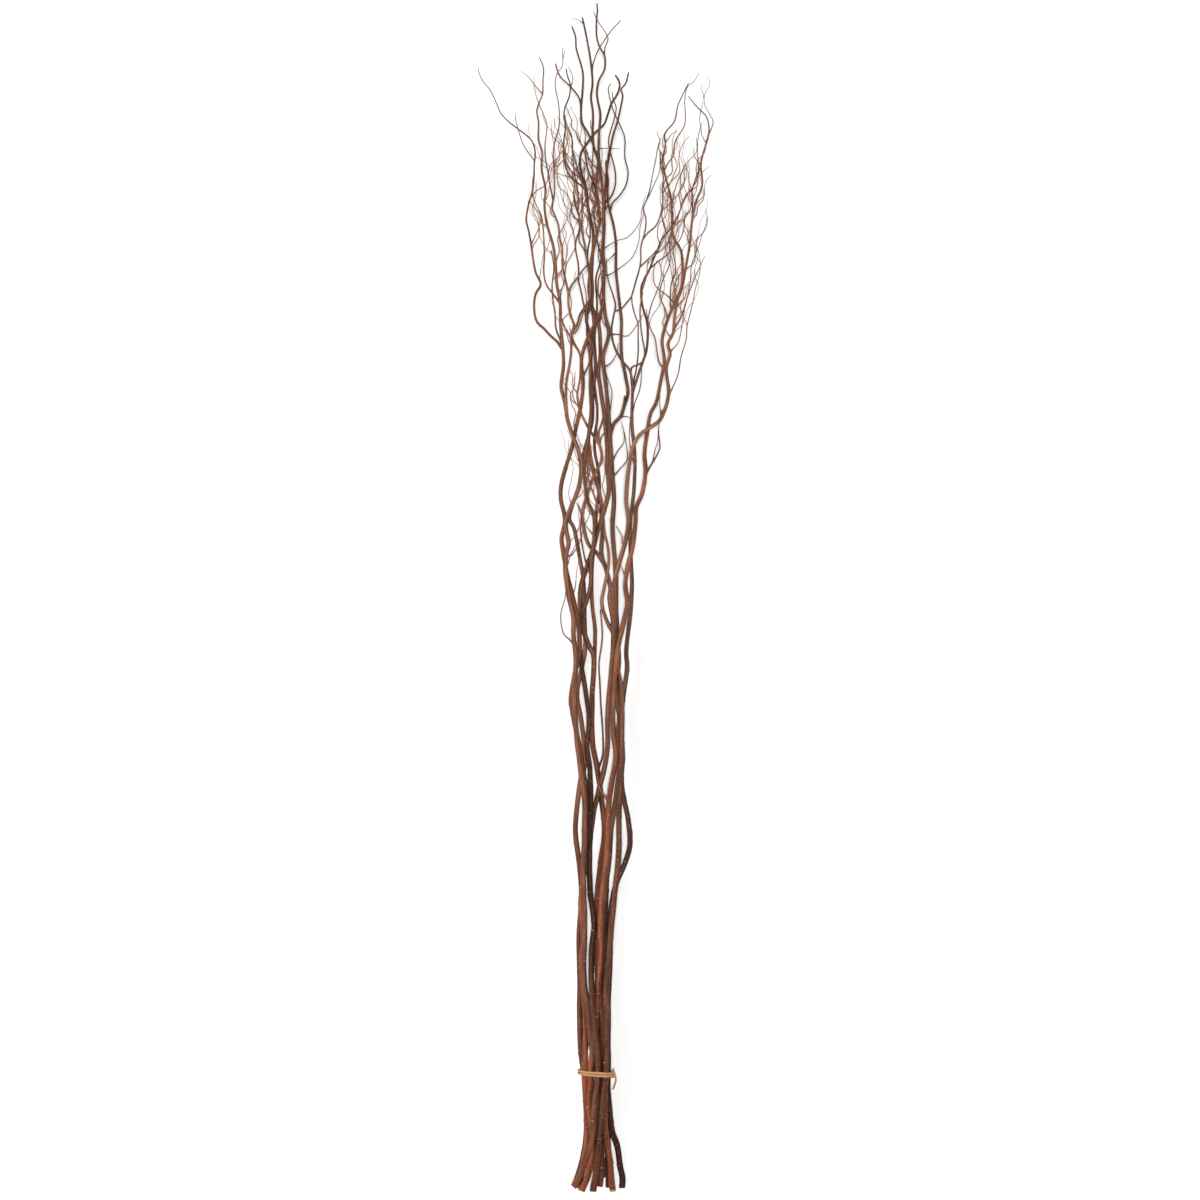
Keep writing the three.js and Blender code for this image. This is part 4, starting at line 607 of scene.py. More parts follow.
def curve_piece(b, c, out, back, steps):
    """Points at even steps of a cubic curve from b to c, without c, from its slopes at both."""
    t = (np.arange(steps) / steps)[:, None]
    cubic = 2 * b - 2 * c + out + back
    square = 3 * c - 3 * b - 2 * out - back
    return b + t * (out + t * (square + t * cubic))


def sample_route(route):
    """Points no more than about STEP apart, along a smooth curve through the route."""
    route = np.array(route, float)
    ends = with_outer_points(route)
    points = []
    for a, b, c, d in zip(ends, ends[1:], ends[2:], ends[3:]):
        reach = [np.hypot(*(q - p)) ** 0.5 for p, q in ((a, b), (b, c), (c, d))]
        out = (b - a) / reach[0] - (c - a) / (reach[0] + reach[1]) + (c - b) / reach[1]
        back = (c - b) / reach[1] - (d - b) / (reach[1] + reach[2]) + (d - c) / reach[2]
        steps = math.ceil(np.hypot(*(c - b)) / STEP)
        points.append(curve_piece(b, c, out * reach[1], back * reach[1], steps))
    return np.vstack(points + [route[-1:]])


def stem_heights(heights, y):
    """The height of a stem at each y, from its heights at HEIGHT_ROWS."""
    rows = np.array(HEIGHT_ROWS, float)
    row = MIDDLE_ROW - y / GRID
    band = np.clip(np.searchsorted(-rows, -row) - 1, 0, len(rows) - 2)
    part = np.clip((rows[band] - row) / (rows[band] - rows[band + 1]), 0, 1)
    heights = np.array(heights, float)
    return lerp(heights[band], heights[band + 1], part * part * (3 - 2 * part))


class Shoot:
    """One stem, side shoot, twig or sprig: its plan, its height and its radius at each point."""

    def __init__(self, name, parent, fork, plan, start, radius, kind):
        self.name, self.parent, self.fork, self.kind = name, parent, fork, kind
        self.plan, self.start, self.radius = plan, start, radius
        self.height, self.clear, self.first = start, math.inf, 0


def make_stem(name, root_radius, tip_radius, heights, text):
    plan = sample_route(read_route(text))
    along = np.linspace(0, 1, len(plan))
    swell = 1 + BUTT_SWELL * np.exp(-STEP * np.arange(len(plan)) / BUTT_REACH)
    radius = lerp(root_radius, tip_radius, along**STEM_TAPER) * swell
    return Shoot(name, None, 0, plan, stem_heights(heights, plan[:, 1]), radius, "stem")


def make_side(parent, root_radius, tip_radius, rise, route, kind):
    away = ((parent.plan - np.array(route[0])) ** 2).sum(1)
    fork = int(away.argmin())
    plan = sample_route([tuple(parent.plan[fork]), *route[1:]])
    along = np.linspace(0, 1, len(plan))
    widest = min(root_radius, parent.radius[fork] * SLIMMER)
    radius = lerp(widest, tip_radius, along**SIDE_TAPER)
    return Shoot(parent.name, parent, fork, plan, parent.height[fork] + rise * along, radius, kind)


def twig_route(carrier, where, side, random, habit):
    """A twig leaves its shoot to one side, wanders, and turns back along the shoot."""
    last = len(carrier.plan) - 1
    start = math.floor(where * last + 0.5)
    behind, ahead = max(start - CARRIER_SIGHT, 0), min(start + CARRIER_SIGHT, last)
    dx, dy = carrier.plan[ahead] - carrier.plan[behind]
    along = math.atan2(dy, dx)
    turn = side * lerp(*TWIG_TURN, random())
    length = lerp(*habit.length, random()) * (TWIG_SHARE[0] - TWIG_SHARE[1] * where)
    phase = random() * math.tau
    stride = length / TWIG_POINTS
    route = [tuple(carrier.plan[start])]
    for k in range(1, TWIG_POINTS + 1):
        swing = habit.swing * math.sin(phase + k * TWIG_WAVE)
        heading = along + turn * (TWIG_BEND[0] - TWIG_BEND[1] * k / TWIG_POINTS) + swing
        x, y = route[-1]
        route.append((x + math.cos(heading) * stride, y + math.sin(heading) * stride))
    return route


def is_in_rooms(route, rooms):
    places = [(MIDDLE_COLUMN + x / GRID, MIDDLE_ROW - y / GRID) for x, y in route]
    return all(
        any(top < row < low and left < column < right for top, low, left, right in rooms)
        for column, row in places
    )


def make_fine(carrier, part, random, habit):
    """The first way for a twig or sprig that keeps to its rooms, if any does, as a list."""
    for _ in range(TWIG_TRIES):
        where = lerp(*part, random())
        route = twig_route(carrier, where, either_way(random), random, habit)
        rise = lerp(*habit.rise, random())
        if is_in_rooms(route, habit.rooms):
            return [make_side(carrier, *habit.radius, rise, route, habit.kind)]
    return []


def make_shoots():
    shoots = []
    for name, stem in STEMS.items():
        own = [make_stem(name, *stem)]
        for carrier, *shape, text in rows_of(name, SIDES):
            own.append(make_side(own[carrier], *shape, read_route(text), "side"))
        random = seeded(ord(name[-1]) * TWIG_SEED)
        for carrier, count, least, most in rows_of(name, TWIGS):
            for _ in range(count):
                own += make_fine(own[carrier], (least, most), random, TWIG)
        shoots += own
    return shoots


# ---- Settling --------------------------------------------------------------------------------------
#
# Seen from above the shoots stay on their routes. Their heights are moved, a little at a time and
# smoothly along each shoot, to bring all barks GAP apart and keep everything above the floor.


def rest_heights(shoots, floor):
    rests = []
    for name, index, row in RESTS:
        shoot = [one for one in shoots if one.name == name][index]
        at = int(np.abs(shoot.plan[:, 1] - (MIDDLE_ROW - row) * GRID).argmin())
        height = shoot.radius[at] * REST_SINK
        away = np.abs(np.arange(len(shoot.plan)) - at)
        rests += [(shoot.first + i, height) for i in np.flatnonzero(away <= REST_HALF)]
        own = slice(shoot.first, shoot.first + len(shoot.plan))
        floor[own] = lerp(height, floor[own], np.minimum(away / REST_REACH, 1) ** 2)
    return rests


def near_pairs(shoots, plan, radius, owner):
    """Every two points of different shoots that are too near, seen from above, and their need."""
    order = np.argsort(plan[:, 1], kind="stable")
    y = plan[order, 1]
    widest = 2 * radius.max() + GAP
    found = []
    for ahead in range(1, len(y)):
        low = np.flatnonzero(y[ahead:] - y[:-ahead] < widest)
        if not len(low):
            break
        found.append(np.stack([order[low], order[low + ahead]], 1))
    pairs = np.vstack(found)
    flip = owner[pairs[:, 0]] > owner[pairs[:, 1]]
    pairs[flip] = pairs[flip, ::-1]
    i, j = pairs[owner[pairs[:, 0]] != owner[pairs[:, 1]]].T
    reach = radius[i] + radius[j] + GAP
    away = np.hypot(*(plan[i] - plan[j]).T)
    close = away < reach
    i, j, reach, away = i[close], j[close], reach[close], away[close]

    # Two shoots of one branch are free to meet near the fork that joins them.
    names = np.array([shoot.name for shoot in shoots])
    first = np.array([shoot.first for shoot in shoots])
    carrier = np.array([shoots.index(s.parent) if s.parent else -1 for s in shoots])
    a, b = owner[i], owner[j]
    free = np.ceil(reach * FORK_REACH / STEP) + FORK_POINTS
    near_root_a, near_root_b = i - first[a] < free, j - first[b] < free
    neither = np.where(carrier[a] == b, near_root_a, near_root_a & near_root_b)
    joined = np.where(carrier[b] == a, near_root_b, neither)
    kept = ~((names[a] == names[b]) & joined)
    i, j, need = i[kept], j[kept], np.sqrt(reach**2 - away**2)[kept]
    order = np.lexsort((j, i, owner[j], owner[i]))
    return i[order], j[order], need[order]


def choose_sides(i, j, owner, height):
    """One shoot passes over the other for the whole of each stretch where they lie close."""
    same = (owner[i[1:]] == owner[i[:-1]]) & (owner[j[1:]] == owner[j[:-1]])
    same &= i[1:] - i[:-1] < CROSSING_BREAK
    stretch = np.concatenate([[0], np.cumsum(~same)])
    total = np.bincount(stretch, height[i] - height[j])
    return np.where(total < 0, -1, 1)[stretch]


def settle(shoots, still=()):
    """Moves the heights of all shoots but the still ones, so that they lie clear of each other."""
    total = 0
    for shoot in shoots:
        shoot.first = total
        total += len(shoot.plan)
    plan = np.vstack([shoot.plan for shoot in shoots])
    radius = np.concatenate([shoot.radius for shoot in shoots])
    first = np.concatenate([shoot.start for shoot in shoots])
    owner = np.repeat(np.arange(len(shoots)), [len(shoot.plan) for shoot in shoots])
    fixed = np.isin(owner, [n for n, shoot in enumerate(shoots) if shoot in still])
    starts = np.isin(np.arange(total), [shoot.first for shoot in shoots])
    # The points before and after each point, on its own shoot.
    before = np.arange(total) - ~starts
    after = np.minimum(np.arange(total) + ~np.roll(starts, -1), total - 1)

    i, j, need = near_pairs(shoots, plan, radius, owner)
    live = ~(fixed[i] & fixed[j])
    i, j, need = i[live], j[live], need[live]
    side = choose_sides(i, j, owner, first)
    share = radius[j] ** 2 / (radius[i] ** 2 + radius[j] ** 2)
    share = np.where(fixed[i], 0, np.where(fixed[j], 1, share))

    row = MIDDLE_ROW - plan[:, 1] / GRID
    tied = bell(row - TIE_ROWS[1], TIE_REACH)
    floor = radius + OFF_FLOOR + tied * (2 * TWINE_RADIUS + TWINE_GAP + OFF_FLOOR)
    rests = rest_heights(shoots, floor)
    floor[fixed] = first[fixed]
    rest_at = np.array([at for at, _ in rests])
    rest_moved = np.array([height for _, height in rests]) - first[rest_at]
    forks = [shoot for shoot in shoots if shoot.parent and shoot not in still]
    fork_at = np.array([shoot.first for shoot in forks])
    fork_from = np.array([shoot.parent.first + shoot.fork for shoot in forks])
    fork_step = first[fork_from] - first[fork_at] if still else 0
    lowest = floor - first

    moved = np.zeros(total)
    for turn in range(SETTLE_ROUNDS + FIRM_ROUNDS):
        short = need - side * (first[i] + moved[i] - first[j] - moved[j])
        tight = short > 0
        ti, tj, push = i[tight], j[tight], (side * short)[tight]
        count = np.bincount(ti, minlength=total) + np.bincount(tj, minlength=total)
        shift = np.bincount(ti, push * share[tight], total)
        shift -= np.bincount(tj, push * (1 - share[tight]), total)
        moved = np.maximum(moved + PUSH * shift / np.maximum(count, 1), lowest)
        moved[rest_at] = rest_moved
        firm = max(turn - SETTLE_ROUNDS, 0) / FIRM_ROUNDS
        moved = lerp(moved, (moved[before] + moved[after]) / 2, SMOOTHING * (1 - firm))
        moved[fixed] = 0
        moved[fork_at] = moved[fork_from] + fork_step
    moved = np.maximum(moved, lowest)
    moved[rest_at] = rest_moved
    moved[fork_at] = moved[fork_from] + fork_step

    height = first + moved
    for shoot in shoots:
        shoot.height = height[shoot.first : shoot.first + len(shoot.plan)]
        shoot.clear = math.inf
    reach = radius[i] + radius[j] + GAP
    apart = np.maximum(side * (height[i] - height[j]), 0)
    gap = np.sqrt(np.maximum(reach**2 - need**2, 0) + apart**2) - radius[i] - radius[j]
    for a, b, room in zip(owner[i], owner[j], gap):
        if shoots[a].name != shoots[b].name or still:
            shoots[a].clear = min(shoots[a].clear, room)
            shoots[b].clear = min(shoots[b].clear, room)
    return shoots


@functools.cache
def settled_shoots():
    """Every shoot that the solid part has, at its own height."""
    settled = settle(make_shoots())
    roomy = [shoot for shoot in settled if shoot.kind != "twig" or shoot.clear > TWIG_CLEAR]
    return settle(roomy)


@functools.cache
def all_shoots(sprigs_each):
    """The settled shoots, and the fine sprigs that find room among them."""
    shoots = settled_shoots()
    for shoot in shoots:
        shoot.start = shoot.height
    sprigs = []
    for name in STEMS:
        random = seeded(ord(name[-1]) * SPRIG_SEED)
        carriers = [s for s in shoots if s.name == name and len(s.plan) * STEP > SPRIG_CARRIER]
        for _ in range(sprigs_each):
            carrier = carriers[int(random() * len(carriers))]
            part = STEM_SPRIGS if carrier.kind == "stem" else SIDE_SPRIGS
            sprigs += make_fine(carrier, part, random, SPRIG)
    for name, carrier, *shape, text in FINE_SHOOTS:
        own = [shoot for shoot in shoots if shoot.name == name]
        sprigs.append(make_side(own[carrier], *shape, read_route(text), "sprig"))
    settle(shoots + sprigs, still=set(shoots))
    return shoots + [sprig for sprig in sprigs if sprig.clear > SPRIG_CLEAR]


# ---- Skins -----------------------------------------------------------------------------------------

SHARP_ANGLE = math.radians(55)


class Skin:
    """The points and faces of a piece as it is built up, and the values that its materials read."""

    def __init__(self):
        self.points, self.straight, self.marks = [], [], []
        self.faces = {3: [], 4: []}
        self.materials = {3: [], 4: []}
        self.count = 0

    def add(self, points, straight, marks, faces):
        """faces is a list of (corner numbers, material number); marks are four values a point."""
        self.points.append(points)
        self.straight.append(straight)
        self.marks.append(marks)
        for corners, material in faces:
            sides = corners.shape[1]
            self.faces[sides].append(corners + self.count)
            self.materials[sides].append(np.full(len(corners), material))
        self.count += len(points)

    def make_object(self, name, materials):
        quads, triangles = np.vstack(self.faces[4]), np.vstack(self.faces[3])
        corners = np.concatenate([quads.ravel(), triangles.ravel()])
        starts = [np.arange(len(quads)) * 4, quads.size + np.arange(len(triangles)) * 3]
        starts = np.concatenate(starts)
        numbers = np.concatenate(self.materials[4] + self.materials[3])
        mesh = bpy.data.meshes.new(name)
        mesh.vertices.add(self.count)
        mesh.vertices.foreach_set("co", (np.vstack(self.points) * MM).astype(np.float32).ravel())
        mesh.loops.add(len(corners))
        mesh.loops.foreach_set("vertex_index", corners.astype(np.int32))
        mesh.polygons.add(len(starts))
        mesh.polygons.foreach_set("loop_start", starts.astype(np.int32))
        mesh.polygons.foreach_set("material_index", numbers.astype(np.int32))
        mesh.update(calc_edges=True)
        mesh.validate()
        for key, kind, values in (
            ("straight", "FLOAT_VECTOR", np.vstack(self.straight) * MM),
            ("marks", "FLOAT_COLOR", np.vstack(self.marks)),
        ):
            attribute = mesh.attributes.new(key, kind, "POINT")
            field = "vector" if kind == "FLOAT_VECTOR" else "color"
            attribute.data.foreach_set(field, values.astype(np.float32).ravel())
        mesh.shade_smooth()
        mesh.set_sharp_from_angle(angle=SHARP_ANGLE)
        for material in materials:
            mesh.materials.append(material)
        piece = bpy.data.objects.new(name, mesh)
        bpy.context.scene.collection.objects.link(piece)
        return piece


def carried_frames(centre, along, normal):
    """Tangent, normal and binormal at each point of a line, with no twist from one to the next."""
    tangents = np.gradient(centre, along, axis=0)
    tangents /= np.linalg.norm(tangents, axis=1)[:, None]
    normals = np.empty_like(tangents)
    for k, tangent in enumerate(tangents):
        normal = normal - tangent * (normal @ tangent)
        normal = normal / math.sqrt(normal @ normal)
        normals[k] = normal
    return tangents, normals, np.cross(tangents, normals)


def spokes(theta, normal, binormal):
    """The way out from each point of a line, at each angle round it."""
    return np.cos(theta)[:, None] * normal[:, None] + np.sin(theta)[:, None] * binormal[:, None]


def lengths_along(line):
    return np.concatenate([[0], np.cumsum(np.linalg.norm(np.diff(line, axis=0), axis=1))])


def points_at(at, lengths, line):
    """Points at these distances along a line, whose own points are at the given lengths."""
    return np.column_stack([np.interp(at, lengths, values) for values in line.T])


def tube_faces(rings, sides):
    ring, side = np.mgrid[0 : rings - 1, 0:sides]
    a = ring * sides + side
    b = ring * sides + (side + 1) % sides
    return np.stack([a, b, b + sides, a + sides], -1).reshape(-1, 4)


def fan_faces(centre, ring_start, sides, forwards):
    this = ring_start + np.arange(sides)
    following = ring_start + (np.arange(sides) + 1) % sides
    order = [this, following] if forwards else [following, this]
    return np.stack([np.full(sides, centre), *order], -1)


# ---- Branches --------------------------------------------------------------------------------------

BARK, CUT_WOOD = 0, 1            # numbers of a branch's two materials
BARK_SEED = 6151
KIND_SIDES = {"stem": 18, "side": 10, "twig": 6, "sprig": 5}

NODE_SPACING = {"stem": (38, 82), "side": (20, 44), "twig": (16, 32), "sprig": (18, 34)}
FIRST_NODE = 0.6                 # how far up the first leaf node is, as a share of a spacing
LAST_NODE = 3                    # least length above the last one
NODE_TURN = math.radians(144)    # from one leaf node to the next, round the shoot,
NODE_TURN_VARIES = 0.5           # and how much that varies
NODE_RINGS = (-3, -1.6, -0.7, 0, 0.7, 1.6, 3)    # rings round a node, where the radius is 4
RINGS_RADIUS = 4
RINGS_SCALE = 0.3                # and thinner shoots have them nearer, down to this share
RINGS_APART = 0.12
NODE_REACH = 12                  # how far from a node its swelling is worked out
SWELL_LENGTH = (0.35, 0.5)       # half the length of a swelling: share of the radius, and more
SWELL_WIDTH = 0.95               # and half its width, in radians
SWELL_ALL_ROUND = 0.35           # share of a swelling that goes all round
SCAR_LENGTH = (0.2, 0.35)        # the same for a leaf scar
SCAR_WIDTH = 0.8

LUMP_WAVES = 3
LUMP_RATES = (0.05, 0.16)        # radians for each millimetre of length
COLLAR = 0.7                     # a shoot is thicker by this share where it leaves its carrier,
COLLAR_REACH = 1.6               # and by less and less over this many of the carrier's radii,
COLLAR_MOST = 0.97               # but never past this share of the carrier's radius
CUT_TILT = 0.18                  # how far off square the stems are cut, as a slope
CUT_REACH = 3                    # radii in which the rings turn square again
# Branches whose cut faces are turned up: slope and angle.
OPEN_CUT = {"branch_09": (0.5, 0.0)}
BLUNT = 0.86                     # a shoot that thins less than this was cut off at its tip
SAWN_RINGS = ((0.9, 0.25), (0.55, 0.3), (0.2, 0.2))    # size and height of each ring of a cut face
SAWN_MIDDLE = 0.1
TIP_RINGS = (0.82, 0.5)          # size of each ring of a tapered tip
TIP_LENGTH = 1.6                 # in radii

PATTERN_SHIFT = (40, 40, 400)    # how far a shoot's bark pattern is moved at most, on each axis
YOUNG_RADIUS = 0.35              # a shoot as thin as this has young bark,
AGEING = 0.6                     # and one thicker by this has old bark
FINE_SHADE = 1.7                 # twigs and sprigs are this much brighter than the stem's bark
# Painted shade: the bark of stems and side shoots is painted darker where other shoots lie close beside
# or over it, standing in for the shade that falls there.
PAINTED_SHADE_KINDS = ("stem", "side")
PAINTED_SHADE_REACH = 16               # painted shade: bark is painted darker where another shoot is within this distance of it,
PAINTED_SHADE_POWER = 1.1              # by this power for each unit of cover
# The bark near the cut ends is redder by this much.
FRESH_TINT = 0xFFE2D3
# How bright the bark of each branch is at five rows, from its crown to its cut end: partly its own
# tone, and partly painted shade where the branch lies under others.
SHADE_ROWS = (80, 450, 775, 925, 1150)
BARK_TONE_AND_PAINTED_SHADE = {
    "branch_01": (0.45, 0.6, 0.22, 0.18, 0.62),
    "branch_02": (0.45, 0.56, 0.6, 0.57, 0.58),
    "branch_03": (0.35, 0.55, 0.7, 0.7, 0.64),
    "branch_04": (0.75, 0.74, 0.64, 0.52, 0.55),
    "branch_05": (0.35, 1.25, 0.75, 0.7, 0.7),
    "branch_06": (0.55, 0.86, 0.4, 0.4, 0.29),
    "branch_07": (0.9, 1.0, 0.7, 0.42, 0.38),
    "branch_08": (0.5, 0.5, 0.6, 0.3, 0.36),
    "branch_09": (0.5, 0.8, 0.75, 0.66, 0.85),
    "branch_10": (0.5, 0.52, 0.75, 0.55, 0.4),
}


def node_places(kind, length, random):
    """Where the leaf nodes are along a shoot, and the way each one faces."""
    places = []
    at = lerp(*NODE_SPACING[kind], random()) * FIRST_NODE
    facing = random() * math.tau
    while at < length - LAST_NODE:
        places.append((at, facing))
        at += lerp(*NODE_SPACING[kind], random())
        facing = (facing + NODE_TURN + NODE_TURN_VARIES * (random() - 0.5)) % math.tau
    return places


def ring_places(along, places, radius):
    """Distances along a shoot that get a ring of points: more of them close to each node."""
    steps = np.array(NODE_RINGS) * max(radius / RINGS_RADIUS, RINGS_SCALE)
    rings = np.sort(np.concatenate([along, *(at + steps for at, _ in places)]))
    rings = rings[(rings >= 0) & (rings <= along[-1])]
    return rings[np.concatenate([[True], np.diff(rings) > RINGS_APART])]


@functools.cache
def painted_shade_casters():
    """Places along the thicker shoots that cast painted shade, by Y: X, Y and Z, radius, and number of
    the shoot.
    """
    rows = [
        np.column_stack([shoot.plan, shoot.height, shoot.radius, np.full(len(shoot.plan), number)])
        for number, shoot in enumerate(settled_shoots()) if shoot.kind in PAINTED_SHADE_KINDS
    ]
    places = np.vstack(rows)
    return places[np.argsort(places[:, 1], kind="stable")]


def painted_shade_cover(shoot, line, points, spoke):
    """How far other shoots close off each point of a skin, which sets its painted shade: about 2 where
    one lies against it.
    """
    places = painted_shade_casters()
    others = places[places[:, 4] != settled_shoots().index(shoot)]
    low = np.searchsorted(others[:, 1], line[:, 1] - PAINTED_SHADE_REACH)
    high = np.searchsorted(others[:, 1], line[:, 1] + PAINTED_SHADE_REACH)
    closed = np.zeros(points.shape[:2])
    for ring in range(len(line)):
        near = others[low[ring] : high[ring]]
        near = near[np.abs(near[:, 0] - line[ring, 0]) < PAINTED_SHADE_REACH]
        toward = near[:, :3] - points[ring][:, None]
        distance = np.maximum(np.linalg.norm(toward, axis=2), near[:, 3])
        facing = np.maximum(np.einsum("snk,sk->sn", toward, spoke[ring]) / distance, 0)
        # All of it counts up to half the reach, and none of it at the reach.
        fade = np.clip(2 - 2 * distance / PAINTED_SHADE_REACH, 0, 1)
        closed[ring] = (facing * fade * near[:, 3] * STEP / distance**2).sum(1)
    return closed


def bark_rings(base, s, theta, places, settings, random):
    """The radius of each ring at each angle, with its lumps and nodes, and where leaf scars are."""
    grid = base[:, None] * np.ones(len(theta))
    for _ in range(LUMP_WAVES):
        phase, rate, lobes = random() * math.tau, lerp(*LUMP_RATES, random()), int(1 + 2 * random())
        grid *= 1 + settings.lumps * np.sin(phase + rate * s[:, None] + lobes * theta)
    scar = np.zeros_like(grid)
    for at, facing in places:
        near = np.abs(s - at) < NODE_REACH
        off = (s[near] - at)[:, None]
        turn = np.abs((theta - facing + math.pi) % math.tau - math.pi)
        own = base[near][:, None]
        ridge = bell(off, SWELL_LENGTH[0] * own + SWELL_LENGTH[1])
        lobe = SWELL_ALL_ROUND + bell(turn, SWELL_WIDTH)
        grid[near] += own * settings.node_swell * ridge * lobe
        mark = bell(off, SCAR_LENGTH[0] * own + SCAR_LENGTH[1]) * bell(turn, SCAR_WIDTH)
        scar[near] = np.maximum(scar[near], mark)
    return grid, scar


def bark_marks(radius, scar, tone, shade):
    """What the bark's material reads at each point: its age, leaf scar, tone, and brightness, which
    holds painted shade.
    """
    age = np.clip((radius - YOUNG_RADIUS) / AGEING, 0, 1)
    return np.stack([age, scar, np.full(age.shape, tone), shade], -1)


def grow_shoot(skin, shoot, settings, number):
    """Adds a shoot to the skin: a tapering tube with swollen nodes, leaf scars and lumps."""
    random = seeded(number * BARK_SEED + ord(shoot.name[-1]))
    line = np.column_stack([shoot.plan, shoot.height])
    along = lengths_along(line)
    places = node_places(shoot.kind, along[-1], random)
    s = ring_places(along, places, shoot.radius[0])
    line = points_at(s, along, line)
    base = np.interp(s, along, shoot.radius)

    # A side shoot widens into a collar where it leaves its carrier.
    if shoot.parent:
        carrier = shoot.parent.radius[shoot.fork]
        collar = 1 + COLLAR * np.exp(-np.maximum(s - carrier, 0) / (COLLAR_REACH * carrier))
        base = np.minimum(base * collar, carrier * COLLAR_MOST)

    rings, sides = len(s), KIND_SIDES[shoot.kind]
    all_round = np.ones(sides)
    theta = np.arange(sides) / sides * math.tau
    grid, scar = bark_rings(base, s, theta, places, settings, random)
    tangent, normal, binormal = carried_frames(line, s, np.array([0.0, 0.0, 1.0]))
    spoke = spokes(theta, normal, binormal)
    points = line[:, None] + grid[..., None] * spoke
    if shoot.kind == "stem":
        slope, facing = OPEN_CUT.get(shoot.name, (CUT_TILT, random() * math.tau))
        fade = np.maximum(1 - s / (CUT_REACH * base[0]), 0)[:, None]
        points += (slope * fade * grid * np.cos(theta - facing))[..., None] * tangent[:, None]

    shift = np.array([random() * most for most in PATTERN_SHIFT])
    tone = random()
    around = [grid * np.cos(theta), grid * np.sin(theta), s[:, None] * all_round]
    straight = np.stack(around, -1) + shift
    row = MIDDLE_ROW - line[:, 1] / GRID
    # The branch's tone by row, with the painted shade that it has where it lies under other branches.
    shade = np.interp(row, SHADE_ROWS, BARK_TONE_AND_PAINTED_SHADE[shoot.name])[:, None] * all_round
    # Painted shade: stems and side shoots are darker where other shoots lie close beside or over them;
    # twigs and sprigs get none and are brightened instead.
    if shoot.kind in PAINTED_SHADE_KINDS:
        shade *= np.exp(-PAINTED_SHADE_POWER * painted_shade_cover(shoot, line, points, spoke))
    else:
        shade *= FINE_SHADE

    marks = bark_marks(base[:, None] * all_round, scar, tone, shade)
    parts = [(points.reshape(-1, 3), straight.reshape(-1, 3), marks.reshape(-1, 4))]
    faces = [(tube_faces(rings, sides), BARK)]
    count = rings * sides
    this = np.arange(sides)
    following = (this + 1) % sides

    # Each end is closed with a sawn face, or with a point that the shoot tapers to.
    blunt = shoot.radius[-1] > BLUNT * shoot.radius[0]
    for ring, forwards, sawn in ((0, False, shoot.kind == "stem"), (-1, True, blunt)):
        rim = points[ring]
        middle = rim.mean(0) if sawn else line[ring]
        outward = tangent[ring] * (1 if forwards else -1)
        tip = TIP_LENGTH * base[ring] if forwards else 0.0
        steps = SAWN_RINGS if sawn else [(share, tip * (1 - share)) for share in TIP_RINGS]
        edge = ring % rings * sides
        for share, rise in steps:
            flat = straight[ring].copy()
            flat[:, :2] = shift[:2] + (flat[:, :2] - shift[:2]) * share
            marks = bark_marks(base[ring] * all_round, np.zeros(sides), tone, shade[ring])
            parts.append((middle + (rim - middle) * share + outward * rise, flat, marks))
            low, high = (edge, count) if forwards else (count, edge)
            band = np.stack([low + this, low + following, high + following, high + this], -1)
            faces.append((band, CUT_WOOD if sawn and share != steps[0][0] else BARK))
            edge = count
            count += sides
        hub = middle + outward * (SAWN_MIDDLE if sawn else tip)
        hub_straight = np.array([shift[0], shift[1], straight[ring, 0, 2]])
        marks = bark_marks(base[[ring]], np.zeros(1), tone, shade[ring, :1])
        parts.append((hub[None], hub_straight[None], marks))
        faces.append((fan_faces(count, edge, sides, forwards), CUT_WOOD if sawn else BARK))
        count += 1

    everything, straight, marks = (np.vstack(values) for values in zip(*parts))
    everything[:, 2] = np.maximum(everything[:, 2], 0)
    skin.add(everything, straight, marks, faces)


# ---- Twine -----------------------------------------------------------------------------------------

TWINE_SEED = 4241
TURN_POINTS = 60                 # of each turn
RING_ANGLES = 24                 # corners of the ring round each point of a stem that the loop clears
CURVE_POINTS = 12                # of a smooth line, for each point that it is given
CORD_STEP = 0.55                 # from one point of a cord to the next
PLY_OFF = 0.5                    # from the cord's middle to a ply's, as a share of the cord's radius
PLY_RADIUS = 0.56                # as the same share
PLY_SIDES = 9
PLY_WAVES = ((0.09, 0.9, 2), (0.05, 2.3, 1))    # how uneven a ply is: share, rate, lag of each ply
HAIR_SIZE = (1.5, 5.5)
HAIR_LIFT = (0.15, 0.6)          # how much a loose fibre stands off instead of running on
HAIR_RADIUS = 0.09
HAIR_TAPER = 1.1                 # share of that radius at its root; at its tip it is 1 less
HAIR_POINTS = 6
HAIR_SIDES = 3
HAIR_CURL = 0.3                  # how far it curls to one side, as a share of its size
HAIR_SIDE = 1.5                  # angle from the way that it stands off to that side
FIBRE_SHIFT = np.array([50, 30, 900])    # how far a strand's pattern is moved at most, on each axis
STRAND_LOWEST = 0.05

# The cords at the right end of the turns: their thickness, and points from there.
LOOSE_CORDS = {
    "knot": (
        1.1,
        [(-0.4, 4, 2), (1.6, 2, 3.2), (2.9, -0.6, 1.6), (2.4, -2.6, -1.2), (0.4, -3.4, -2.6)],
    ),
    "short end": (0.7, [(1.2, 0.5, 2), (1.9, 3, 3.1), (1.5, 5.5, 3.2), (0.6, 8, 2.6)]),
    "tail": (
        0.75,
        [
            (1.4, 0, 0.5), (3.8, -3.2, -0.6), (4.8, -7.5, -3), (4.4, -12.5, -6.5), (2.8, -18, -9.5),
            (0.8, -23.5, -11.2),
        ],
    ),
}


